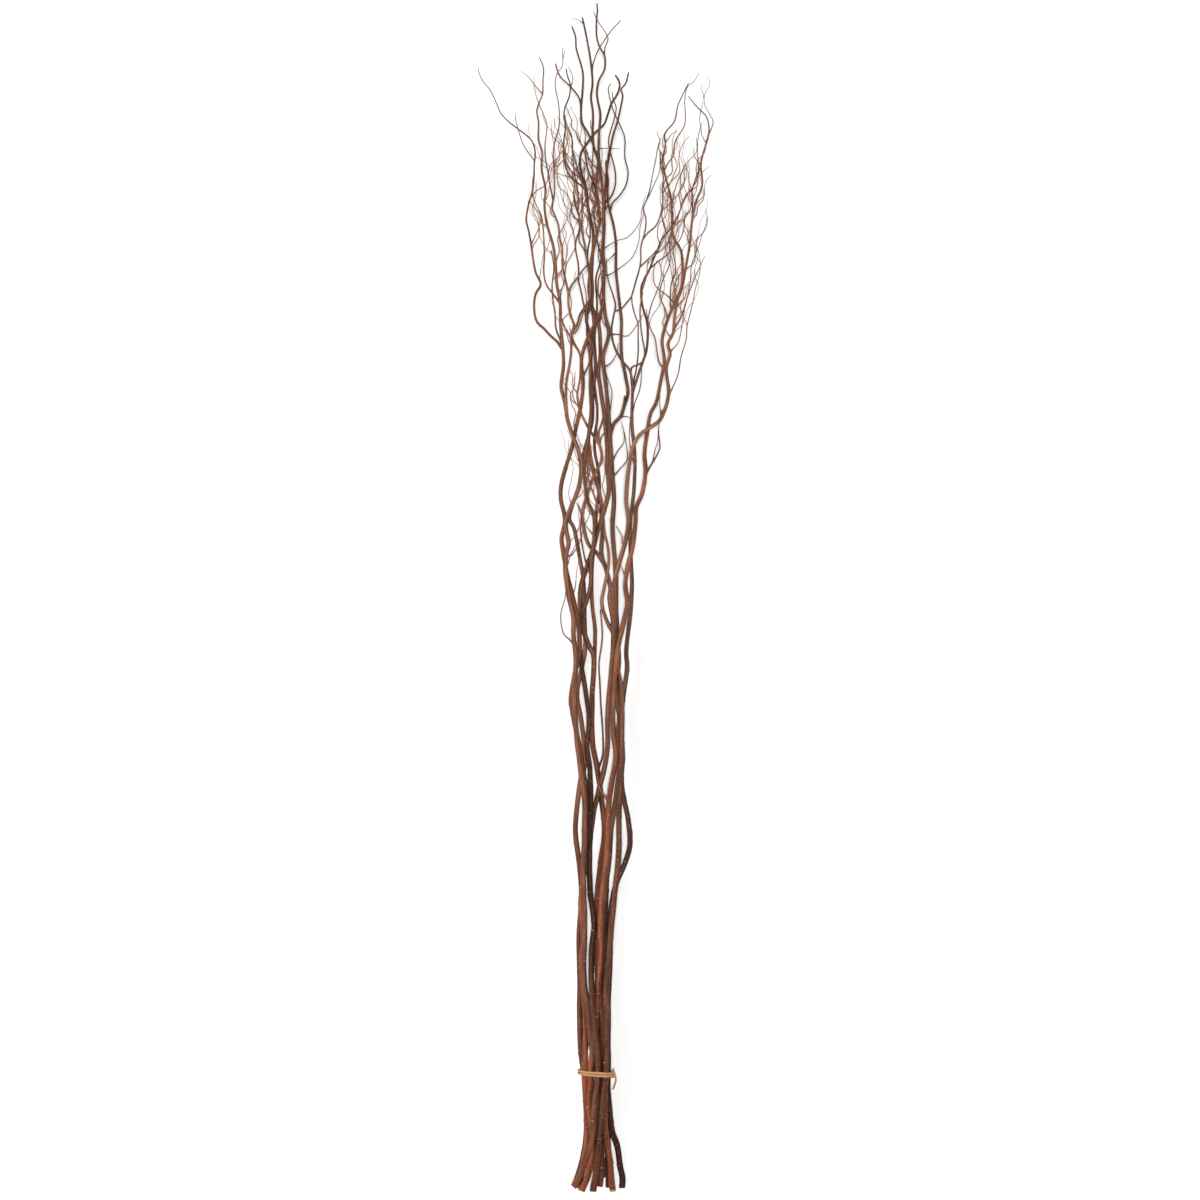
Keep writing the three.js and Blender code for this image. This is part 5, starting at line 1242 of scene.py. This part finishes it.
def loop_round_stems(stems):
    """The shortest loop round the stems at the tie, seen along the bundle, as x and z."""
    corners = []
    angles = np.arange(RING_ANGLES) / RING_ANGLES * math.tau
    for stem in stems:
        row = MIDDLE_ROW - stem.plan[:, 1] / GRID
        in_band = (row >= TIE_ROWS[0] - TIE_BAND) & (row <= TIE_ROWS[1] + TIE_BAND)
        for k in np.flatnonzero(in_band):
            away = (stem.radius[k] + TWINE_RADIUS + TWINE_GAP) / math.cos(math.pi / RING_ANGLES)
            xs = stem.plan[k, 0] + away * np.cos(angles)
            zs = stem.height[k] + away * np.sin(angles)
            corners += list(zip(xs.tolist(), zs.tolist()))
    corners.sort()

    def half(points):
        chain = []
        for point in points:
            while len(chain) > 1:
                (ax, az), (bx, bz) = chain[-2:]
                if (bx - ax) * (point[1] - az) - (bz - az) * (point[0] - ax) > 0:
                    break
                chain.pop()
            chain.append(point)
        return chain[:-1]

    return np.array(half(corners) + half(corners[::-1]))


def even_loop(loop, count):
    """Points at even steps round the loop, from its rightmost point."""
    start = int(loop[:, 0].argmax())
    turned = np.vstack([loop[start:], loop[:start], loop[start : start + 1]])
    lengths = lengths_along(turned)
    return points_at(np.arange(count) / count * lengths[-1], lengths, turned)


def smooth_line(points):
    """Points CORD_STEP apart along a smooth curve through the given ones."""
    points = np.array(points, float)
    ends = with_outer_points(points)
    dense = [
        curve_piece(b, c, (c - a) / 2, (d - b) / 2, CURVE_POINTS)
        for a, b, c, d in zip(ends, ends[1:], ends[2:], ends[3:])
    ]
    dense = np.vstack(dense + [points[-1:]])
    lengths = lengths_along(dense)
    at = np.linspace(0, lengths[-1], max(int(lengths[-1] / CORD_STEP), 3))
    return points_at(at, lengths, dense)


def add_strand(skin, line, radii, sides, tone, start):
    """Adds one thin round strand to the skin, with closed ends."""
    along = lengths_along(line)
    _, normal, binormal = carried_frames(line, along, np.array(start, float))
    theta = np.arange(sides) / sides * math.tau
    points = (line[:, None] + radii[:, None, None] * spokes(theta, normal, binormal)).reshape(-1, 3)
    around = radii[:, None] * np.stack([np.cos(theta), np.sin(theta)])[:, None]
    straight = np.stack([*around, along[:, None] * np.ones(sides)], -1).reshape(-1, 3)
    count = len(points)
    faces = [
        (tube_faces(len(line), sides), 0),
        (fan_faces(count, 0, sides, forwards=False), 0),
        (fan_faces(count + 1, count - sides, sides, forwards=True), 0),
    ]
    points = np.vstack([points, line[0], line[-1]])
    points[:, 2] = np.maximum(points[:, 2], STRAND_LOWEST)
    straight = np.vstack([straight, [0, 0, 0], [0, 0, along[-1]]]) + tone * FIBRE_SHIFT
    skin.add(points, straight, np.tile([tone, 0, 0, 1], (len(points), 1)), faces)


def add_twisted_cord(skin, points, settings, thickness, random, start=(0, 1, 0)):
    """Adds a cord of plies laid round each other, and the loose fibres that stand off it."""
    radius = settings.radius / MM * thickness
    line = smooth_line(points)
    along = lengths_along(line)
    tangent, normal, binormal = carried_frames(line, along, np.array(start, float))
    lay = settings.lay / MM
    for ply in range(settings.plies):
        angle = along / lay * math.tau + ply / settings.plies * math.tau
        off = radius * PLY_OFF * (np.cos(angle)[:, None] * normal + np.sin(angle)[:, None] * binormal)
        uneven = 1
        for share, rate, lag in PLY_WAVES:
            uneven = uneven + share * np.sin(along * rate + ply * lag)
        add_strand(skin, line + off, radius * PLY_RADIUS * uneven, PLY_SIDES, random(), start)
    for _ in range(int(settings.fuzz * along[-1] / 100)):
        at = int(random() * (len(line) - 1))
        turn = random() * math.tau
        out, side = (
            math.cos(angle) * normal[at] + math.sin(angle) * binormal[at]
            for angle in (turn, turn + HAIR_SIDE)
        )
        way = either_way(random)
        size = lerp(*HAIR_SIZE, random() ** 2)
        t = np.linspace(0, 1, HAIR_POINTS)[:, None]
        lift = lerp(*HAIR_LIFT, random())
        curl = t * way * tangent[at] * (1 - lift) + t**1.5 * out * lift
        curl += HAIR_CURL * np.sin(t * 3) * side
        hair = line[at] + out * radius * 0.9 + size * curl
        radii = HAIR_RADIUS * (HAIR_TAPER - t[:, 0])
        add_strand(skin, hair, radii, HAIR_SIDES, random(), out + side * HAIR_CURL)


# ---- Materials -------------------------------------------------------------------------------------

WEATHERED_SHARE = 0.45           # how much of a weathered patch is the weathered colour
YOUNG_SHARE = 0.7                # how much of a young shoot is the young colour
PORE_SHARE = 0.32                # how much of a pore is the colour of scars
DARK_FIBRES = 0.62               # brightness of the darker fibres of sawn wood
FLOOR_MOTTLE = 0.985             # brightness of the darker parts of the floor


def linear(colour):
    """An sRGB hex value as linear red, green, blue."""
    channels = [(colour >> shift & 255) / 255 for shift in (16, 8, 0)]
    return [c / 12.92 if c <= 0.04045 else ((c + 0.055) / 1.055) ** 2.4 for c in channels]


def rgba(colour):
    return (*colour, 1.0)


def new_material(name):
    material = bpy.data.materials.new(name)
    material.use_nodes = True
    material.node_tree.nodes.clear()
    return material, material.node_tree


def add_node(tree, kind, inputs=None, **settings):
    """Adds a node with its settings. Each input is a value, or an output that it is linked to."""
    node = tree.nodes.new(kind)
    for key, value in settings.items():
        setattr(node, key, value)
    for key, value in (inputs or {}).items():
        if isinstance(value, bpy.types.NodeSocket):
            tree.links.new(value, node.inputs[key])
        else:
            node.inputs[key].default_value = value
    return node


def willow_bark(name, old, settings):
    """Dried willow bark, left as it grew: a thin satin skin with lengthwise wrinkles, corky leaf
    scars and pale breathing pores, greyer in patches on old wood, and redder on young shoots."""
    material, tree = new_material(name)
    straight = add_node(tree, "ShaderNodeAttribute", attribute_name="straight").outputs["Vector"]
    marks = add_node(tree, "ShaderNodeAttribute", attribute_name="marks")
    parts = add_node(tree, "ShaderNodeSeparateColor", {"Color": marks.outputs["Color"]}).outputs
    age, scar, tone = parts["Red"], parts["Green"], parts["Blue"]
    # The marks' alpha is the bark's brightness: its tone by row, with painted shade where other shoots
    # lie close or over it.
    tone_and_painted_shade = marks.outputs["Alpha"]
    place = add_node(tree, "ShaderNodeTexCoord").outputs["Object"]
    up_bundle = add_node(tree, "ShaderNodeSeparateXYZ", {"Vector": place}).outputs["Y"]

    # Patterns by how often they repeat in a metre across and along the shoot, detail and roughness.
    noises = []
    for scale, detail, grain in (
        ((1400, 1400, 40), 4.0, 0.6),    # Wrinkles 0.7 mm apart round the shoot, and 25 mm long.
        ((340, 340, 25), 2.0, 0.5),      # Streaks 3 mm wide and 40 mm long, coarser than real ones.
        ((200, 200, 14), 3.0, 0.55),     # Weathering in patches about 5 mm wide and 70 mm long.
    ):
        place = add_node(tree, "ShaderNodeMapping", {"Vector": straight, "Scale": scale}).outputs[0]
        noises.append(
            add_node(
                tree, "ShaderNodeTexNoise",
                {"Vector": place, "Scale": 1.0, "Detail": detail, "Roughness": grain},
            ).outputs["Fac"]
        )
    wrinkles, streaks, patches = noises
    # Pores 0.8 mm high and 2 mm wide, one in about 9 mm.
    place = add_node(
        tree, "ShaderNodeMapping", {"Vector": straight, "Scale": (110, 110, 260)}
    ).outputs[0]
    pore_distance = add_node(
        tree, "ShaderNodeTexVoronoi", {"Vector": place, "Scale": 1.0, "Randomness": 1.0}
    ).outputs["Distance"]
    pores = add_node(
        tree, "ShaderNodeMapRange",
        {"Value": pore_distance, "From Min": 0.2, "From Max": 0.1, "To Min": 0.0, "To Max": 1.0},
    ).outputs["Result"]

    # Old bark is weathered in patches, most of all in the upper half of the bundle.
    patch_share = add_node(
        tree, "ShaderNodeMapRange",
        {"Value": patches, "From Min": 0.34, "From Max": 0.62, "To Min": 0.0, "To Max": 1.0},
    ).outputs["Result"]
    weathering = add_node(
        tree, "ShaderNodeMapRange",
        {"Value": up_bundle, "From Min": -0.7, "From Max": 0.3, "To Min": 0.1, "To Max": 0.95},
    ).outputs["Result"]
    weathered_share = add_node(
        tree, "ShaderNodeMath", {0: patch_share, 1: weathering}, operation="MULTIPLY"
    ).outputs[0]
    weathered = rgba(lerp(c, w, WEATHERED_SHARE) for c, w in zip(old, settings.weathered))
    old_bark = add_node(
        tree, "ShaderNodeMix", {0: weathered_share, 6: rgba(old), 7: weathered}, data_type="RGBA"
    ).outputs[2]
    young = rgba(lerp(c, y, YOUNG_SHARE) for c, y in zip(old, settings.young))
    aged = add_node(tree, "ShaderNodeMix", {0: age, 6: young, 7: old_bark}, data_type="RGBA").outputs[2]

    # Bark is fresher and redder toward the cut ends.
    freshness = add_node(
        tree, "ShaderNodeMapRange",
        {"Value": up_bundle, "From Min": -0.85, "From Max": -0.05, "To Min": 1.0, "To Max": 0.0},
    ).outputs["Result"]
    reddened = add_node(
        tree, "ShaderNodeMix", {0: freshness, 6: aged, 7: rgba(linear(FRESH_TINT))},
        data_type="RGBA", blend_type="MULTIPLY",
    ).outputs[2]

    # Wrinkles and streaks are darker and lighter, and so is each shoot as a whole; each point is also
    # darkened by the painted shade that its marks carry.
    fine_shade = add_node(
        tree, "ShaderNodeMapRange",
        {"Value": wrinkles, "From Min": 0.3, "From Max": 0.7, "To Min": 0.75, "To Max": 1.2},
    ).outputs["Result"]
    streak_shade = add_node(
        tree, "ShaderNodeMapRange",
        {"Value": streaks, "From Min": 0.36, "From Max": 0.64, "To Min": 0.62, "To Max": 1.3},
    ).outputs["Result"]
    shade = add_node(
        tree, "ShaderNodeMath", {0: fine_shade, 1: streak_shade}, operation="MULTIPLY"
    ).outputs[0]
    shoot_shade = add_node(
        tree, "ShaderNodeMapRange", {"Value": tone, "To Min": 0.86, "To Max": 1.14}
    ).outputs["Result"]
    shoot_tone_and_painted_shade = add_node(
        tree, "ShaderNodeMath", {0: shoot_shade, 1: tone_and_painted_shade}, operation="MULTIPLY"
    ).outputs[0]
    brightness = add_node(
        tree, "ShaderNodeMath", {0: shade, 1: shoot_tone_and_painted_shade}, operation="MULTIPLY"
    ).outputs[0]
    toned = add_node(
        tree, "ShaderNodeVectorMath", {0: reddened, "Scale": brightness}, operation="SCALE"
    ).outputs[0]

    # Pores and leaf scars are of one colour. The edge of a scar is broken by the wrinkles.
    pore_share = add_node(
        tree, "ShaderNodeMath", {0: pores, 1: PORE_SHARE}, operation="MULTIPLY"
    ).outputs[0]
    with_pores = add_node(
        tree, "ShaderNodeMix", {0: pore_share, 6: toned, 7: rgba(settings.scar)}, data_type="RGBA"
    ).outputs[2]
    scar_edge = add_node(
        tree, "ShaderNodeMath", {0: scar, 1: wrinkles, 2: -0.26}, operation="MULTIPLY_ADD"
    ).outputs[0]
    scar_share = add_node(
        tree, "ShaderNodeMapRange",
        {"Value": scar_edge, "From Min": 0.0, "From Max": 0.22, "To Min": 0.0, "To Max": 0.5},
    ).outputs["Result"]
    colour = add_node(
        tree, "ShaderNodeMix", {0: scar_share, 6: with_pores, 7: rgba(settings.scar)}, data_type="RGBA"
    ).outputs[2]

    # Weathered patches are rougher. Wrinkles and pores stand out by tenths of a millimetre.
    roughness = add_node(
        tree, "ShaderNodeMapRange", {"Value": patches, "To Min": 0.42, "To Max": 0.66}
    ).outputs["Result"]
    relief = add_node(
        tree, "ShaderNodeMath", {0: pores, 1: 0.6, 2: wrinkles}, operation="MULTIPLY_ADD"
    ).outputs[0]
    bump = add_node(
        tree, "ShaderNodeBump", {"Height": relief, "Strength": 0.55, "Distance": 0.0002}
    ).outputs["Normal"]
    shader = add_node(
        tree, "ShaderNodeBsdfPrincipled",
        {
            "Base Color": colour, "Roughness": roughness, "Normal": bump, "IOR": 1.46,
            "Specular IOR Level": 0.12,
        },
    )
    add_node(tree, "ShaderNodeOutputMaterial", {"Surface": shader.outputs[0]})
    return material


def sawn_willow(settings):
    """Willow wood, sawn across: pale and matt, with a fine mottle of darker fibres."""
    material, tree = new_material("Sawn willow wood")
    straight = add_node(tree, "ShaderNodeAttribute", attribute_name="straight").outputs["Vector"]
    # Fibres about 1 mm apart, coarser than real ones so that they show.
    fibres = add_node(
        tree, "ShaderNodeTexNoise", {"Vector": straight, "Scale": 900.0, "Detail": 3.0}
    ).outputs["Fac"]
    darker = rgba(DARK_FIBRES * c for c in settings.sawn)
    colour = add_node(
        tree, "ShaderNodeMix", {0: fibres, 6: rgba(settings.sawn), 7: darker}, data_type="RGBA"
    ).outputs[2]
    bump = add_node(
        tree, "ShaderNodeBump", {"Height": fibres, "Strength": 0.4, "Distance": 0.0002}
    ).outputs["Normal"]
    shader = add_node(
        tree, "ShaderNodeBsdfPrincipled",
        {"Base Color": colour, "Roughness": 0.82, "Normal": bump, "IOR": 1.5},
    )
    add_node(tree, "ShaderNodeOutputMaterial", {"Surface": shader.outputs[0]})
    return material


def jute_twine(settings):
    """Jute, spun and laid: dry, matt, golden fibres with darker ones among them."""
    material, tree = new_material("Spun jute twine")
    straight = add_node(tree, "ShaderNodeAttribute", attribute_name="straight").outputs["Vector"]
    # Fibres 0.25 mm apart and 8 mm long, coarser than real jute so that they show.
    place = add_node(
        tree, "ShaderNodeMapping", {"Vector": straight, "Scale": (4000, 4000, 120)}
    ).outputs[0]
    fibres = add_node(
        tree, "ShaderNodeTexNoise", {"Vector": place, "Scale": 1.0, "Detail": 3.0}
    ).outputs["Fac"]
    share = add_node(
        tree, "ShaderNodeMapRange", {"Value": fibres, "From Min": 0.35, "From Max": 0.68}
    ).outputs["Result"]
    dark, pale = rgba(settings.dark), rgba(settings.pale)
    colour = add_node(tree, "ShaderNodeMix", {0: share, 6: dark, 7: pale}, data_type="RGBA").outputs[2]
    bump = add_node(
        tree, "ShaderNodeBump", {"Height": fibres, "Strength": 0.7, "Distance": 0.0002}
    ).outputs["Normal"]
    shader = add_node(
        tree, "ShaderNodeBsdfPrincipled",
        {"Base Color": colour, "Roughness": 0.9, "Normal": bump, "IOR": 1.5},
    )
    add_node(tree, "ShaderNodeOutputMaterial", {"Surface": shader.outputs[0]})
    return material


def floor_paint(settings):
    """Matt white emulsion on a smooth studio floor: even, with the faintest mottle."""
    material, tree = new_material("Matt white floor paint")
    place = add_node(tree, "ShaderNodeTexCoord").outputs["Object"]
    mottle = add_node(
        tree, "ShaderNodeTexNoise", {"Vector": place, "Scale": 3.0, "Detail": 2.0}
    ).outputs["Fac"]
    dim = rgba(FLOOR_MOTTLE * c for c in settings.floor)
    colour = add_node(
        tree, "ShaderNodeMix", {0: mottle, 6: rgba(settings.floor), 7: dim}, data_type="RGBA"
    ).outputs[2]
    shader = add_node(
        tree, "ShaderNodeBsdfPrincipled", {"Base Color": colour, "Roughness": 0.85, "IOR": 1.5}
    )
    add_node(tree, "ShaderNodeOutputMaterial", {"Surface": shader.outputs[0]})
    return material


# ---- Settings --------------------------------------------------------------------------------------


def colour_setting(name, description, colour):
    return FloatVectorProperty(
        name=name, description=description, default=linear(colour), subtype="COLOR", min=0, max=1
    )


class WillowBarkSettings(PropertyGroup):
    """Colours of the bark and the wood."""

    grey_brown: colour_setting("Grey brown", "Bark of the grey brown branches", 0x8F5E46)
    red_brown: colour_setting("Red brown", "Bark of the bright red brown branch", 0x9F5F40)
    orange_brown: colour_setting("Orange brown", "Bark of the orange brown branch", 0xA56343)
    dark_brown: colour_setting("Dark brown", "Bark of the dark brown branches", 0x7F533F)
    purple_brown: colour_setting("Purple brown", "Bark of the purple brown branch", 0x624036)
    dark_red: colour_setting("Dark red", "Bark of the dark red branch", 0x844D36)
    weathered: colour_setting("Weathered", "Grey that old bark fades to in patches", 0x97735E)
    young: colour_setting("Young", "Bark of the thinnest shoots", 0x845135)
    scar: colour_setting("Scars", "Leaf scars and pores", 0xCDA580)
    sawn: colour_setting("Sawn wood", "Cut ends of the branches", 0xCBA77B)


class WillowBranchSettings(PropertyGroup):
    """Shape of the branches."""

    lumps: FloatProperty(
        name="Lumps", description="How uneven a shoot is, as a share of its radius", default=0.03,
        min=0, max=0.1, subtype="FACTOR",
    )
    node_swell: FloatProperty(
        name="Node swell", description="Height of a leaf node, as a share of the radius", default=0.13,
        min=0, max=0.4, subtype="FACTOR",
    )
    sprigs: IntProperty(
        name="Sprigs", description="Finest sprigs that each branch grows, where there is room",
        default=14, min=0, max=60,
    )


class WillowTwineSettings(PropertyGroup):
    """Shape and colour of the tie."""

    radius: FloatProperty(
        name="Radius", description="Radius of the twine", default=TWINE_RADIUS * MM, min=0.0005,
        max=0.004, unit="LENGTH",
    )
    lay: FloatProperty(
        name="Lay", description="Length in which a ply goes once round", default=0.0085, min=0.003,
        max=0.03, unit="LENGTH",
    )
    plies: IntProperty(name="Plies", description="Strands laid together", default=3, min=2, max=4)
    fuzz: FloatProperty(
        name="Fuzz", description="Loose fibres on 100 mm of twine", default=70, min=0, max=300
    )
    pale: colour_setting("Pale fibres", "Lighter colour of the jute", 0xD8A97C)
    dark: colour_setting("Dark fibres", "Darker colour of the jute", 0x9E704A)


class WillowStageSettings(PropertyGroup):
    """Floor, light and camera."""

    floor: colour_setting("Floor", "Colour of the floor", 0xFAFAF9)
    floor_size: FloatProperty(
        name="Floor size", description="Side of the floor", default=30.0, min=2, max=100, unit="LENGTH"
    )
    view_width: FloatProperty(
        name="View width", description="Width of floor that the camera sees", default=1.8, min=0.5,
        max=5, unit="LENGTH",
    )
    lens: FloatProperty(
        name="Lens", description="Focal length in millimetres", default=180.0, min=20, max=300
    )
    sun: FloatProperty(
        name="Main light", description="Strength of the light above", default=2.55, min=0
    )
    side_sun: FloatProperty(
        name="Left light", description="Strength of the light from the left", default=1.2, min=0
    )
    sky: FloatProperty(
        name="Fill light", description="Strength of the light from all around", default=0.28, min=0
    )


# ---- Operators -------------------------------------------------------------------------------------

# Lamps: name, setting of its strength, its angle across and its tilt from straight above, in degrees.
# The main light is right above, so that its shadows hide below the stems, and a weak one from the
# left gives each stem a lighter and a darker side.
LAMPS = (("overhead_light", "sun", 8, 0), ("left_light", "side_sun", 30, -50))
VIEW_MIDDLE = 600                # row and column in the middle of the view
VIEW_HEIGHT = 0.04               # metres above the floor at which the view is as wide as it says
SENSOR_WIDTH = 36
CLIP_END = 100

BARK_OF_BRANCH = {
    "branch_01": "grey_brown",
    "branch_02": "red_brown",
    "branch_03": "orange_brown",
    "branch_04": "grey_brown",
    "branch_05": "dark_brown",
    "branch_06": "grey_brown",
    "branch_07": "purple_brown",
    "branch_08": "dark_brown",
    "branch_09": "dark_red",
    "branch_10": "grey_brown",
}


class WILLOW_OT_branches(Operator):
    """Grow the ten branches in the place of their plain solids"""

    bl_idname = "willow.branches"
    bl_label = "Grow branches"

    def execute(self, context):
        shape, bark = context.scene.willow_branches, context.scene.willow_bark
        barks = {}
        for tint in sorted(set(BARK_OF_BRANCH.values())):
            name = f"Dried willow bark {tint.replace('_', ' ')}"
            barks[tint] = willow_bark(name, getattr(bark, tint)[:], bark)
        sawn = sawn_willow(bark)
        shoots = all_shoots(shape.sprigs)
        for name, tint in BARK_OF_BRANCH.items():
            skin = Skin()
            for number, shoot in enumerate([shoot for shoot in shoots if shoot.name == name]):
                grow_shoot(skin, shoot, shape, number)
            piece = skin.make_object(f"willow_{name}", [barks[tint], sawn])
            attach(piece, BODY)
            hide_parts(name)
        return {"FINISHED"}


class WILLOW_OT_twine(Operator):
    """Tie the stems with two turns of twine, a knot and its loose ends"""

    bl_idname = "willow.twine"
    bl_label = "Tie twine"

    def execute(self, context):
        settings = context.scene.willow_twine
        random = seeded(TWINE_SEED)
        stems = [shoot for shoot in settled_shoots() if shoot.kind == "stem"]
        loop = even_loop(loop_round_stems(stems), TURN_POINTS)
        upper, lower = [(MIDDLE_ROW - row) * GRID for row in TIE_ROWS]
        turns = [
            (x, lerp(upper, lower, n / (2 * TURN_POINTS)) - TIE_SLOPE * x, z)
            for n, (x, z) in enumerate(np.vstack([loop, loop, loop[:1]]))
        ]
        knot_x, knot_z = loop[0]
        knot_at = np.array([knot_x, (upper + lower) / 2 - TIE_SLOPE * knot_x, knot_z])
        skin = Skin()
        add_twisted_cord(skin, turns, settings, 1.0, random)
        for thickness, points in LOOSE_CORDS.values():
            add_twisted_cord(skin, knot_at + np.array(points), settings, thickness, random, (0, 0, 1))
        piece = skin.make_object("jute_twine_tie", [jute_twine(settings)])
        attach(piece, BODY)
        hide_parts("twine_tie")
        return {"FINISHED"}


class WILLOW_OT_stage(Operator):
    """Lay the floor, set the lights and point the camera down at the bundle"""

    bl_idname = "willow.stage"
    bl_label = "Set stage"

    def execute(self, context):
        settings = context.scene.willow_stage
        scene = context.scene
        half = settings.floor_size / 2
        mesh = bpy.data.meshes.new("studio_floor")
        corners = [(-half, -half, 0), (half, -half, 0), (half, half, 0), (-half, half, 0)]
        mesh.from_pydata(corners, [], [(0, 1, 2, 3)])
        mesh.materials.append(floor_paint(settings))
        floor = bpy.data.objects.new("studio_floor", mesh)
        scene.collection.objects.link(floor)

        world = bpy.data.worlds.new("Studio light")
        world.use_nodes = True
        background = world.node_tree.nodes["Background"]
        background.inputs["Color"].default_value = (1, 1, 1, 1)
        background.inputs["Strength"].default_value = settings.sky
        scene.world = world
        for name, strength, angle, tilt in LAMPS:
            lamp = bpy.data.lights.new(name, "SUN")
            lamp.energy = getattr(settings, strength)
            lamp.angle = math.radians(angle)
            light = bpy.data.objects.new(name, lamp)
            light.rotation_euler = (0, math.radians(tilt), 0)
            scene.collection.objects.link(light)

        data = bpy.data.cameras.new("camera")
        data.sensor_fit = "HORIZONTAL"
        data.sensor_width = SENSOR_WIDTH
        data.lens = settings.lens
        data.clip_end = CLIP_END
        camera = bpy.data.objects.new("camera", data)
        x, y = (VIEW_MIDDLE - MIDDLE_COLUMN) * GRID * MM, (MIDDLE_ROW - VIEW_MIDDLE) * GRID * MM
        camera.location = (x, y, VIEW_HEIGHT + settings.view_width * data.lens / data.sensor_width)
        scene.collection.objects.link(camera)
        scene.camera = camera
        scene.view_settings.view_transform = "Standard"
        return {"FINISHED"}


class WILLOW_PT_bundle(Panel):
    """Everything that the bundle is made with"""

    bl_label = "Curly willow bundle"
    bl_idname = "WILLOW_PT_bundle"
    bl_space_type = "VIEW_3D"
    bl_region_type = "UI"
    bl_category = "Willow"

    def draw(self, context):
        for key, operator in PANEL_ROWS:
            box = self.layout.box()
            settings = getattr(context.scene, key)
            for name in settings.__annotations__:
                box.prop(settings, name)
            if operator:
                box.operator(operator)


PANEL_ROWS = (
    ("willow_bark", None),
    ("willow_branches", "willow.branches"),
    ("willow_twine", "willow.twine"),
    ("willow_stage", "willow.stage"),
)
SETTINGS = {
    "willow_bark": WillowBarkSettings,
    "willow_branches": WillowBranchSettings,
    "willow_twine": WillowTwineSettings,
    "willow_stage": WillowStageSettings,
}
CLASSES = (*SETTINGS.values(), WILLOW_OT_branches, WILLOW_OT_twine, WILLOW_OT_stage, WILLOW_PT_bundle)


def register():
    for cls in CLASSES:
        bpy.utils.register_class(cls)
    for key, group in SETTINGS.items():
        setattr(bpy.types.Scene, key, PointerProperty(type=group))


def unregister():
    for key in SETTINGS:
        delattr(bpy.types.Scene, key)
    for cls in reversed(CLASSES):
        bpy.utils.unregister_class(cls)


def main():
    register()
    bpy.ops.willow.stage()
    bpy.ops.willow.branches()
    bpy.ops.willow.twine()


if __name__ == "__main__":
    main()
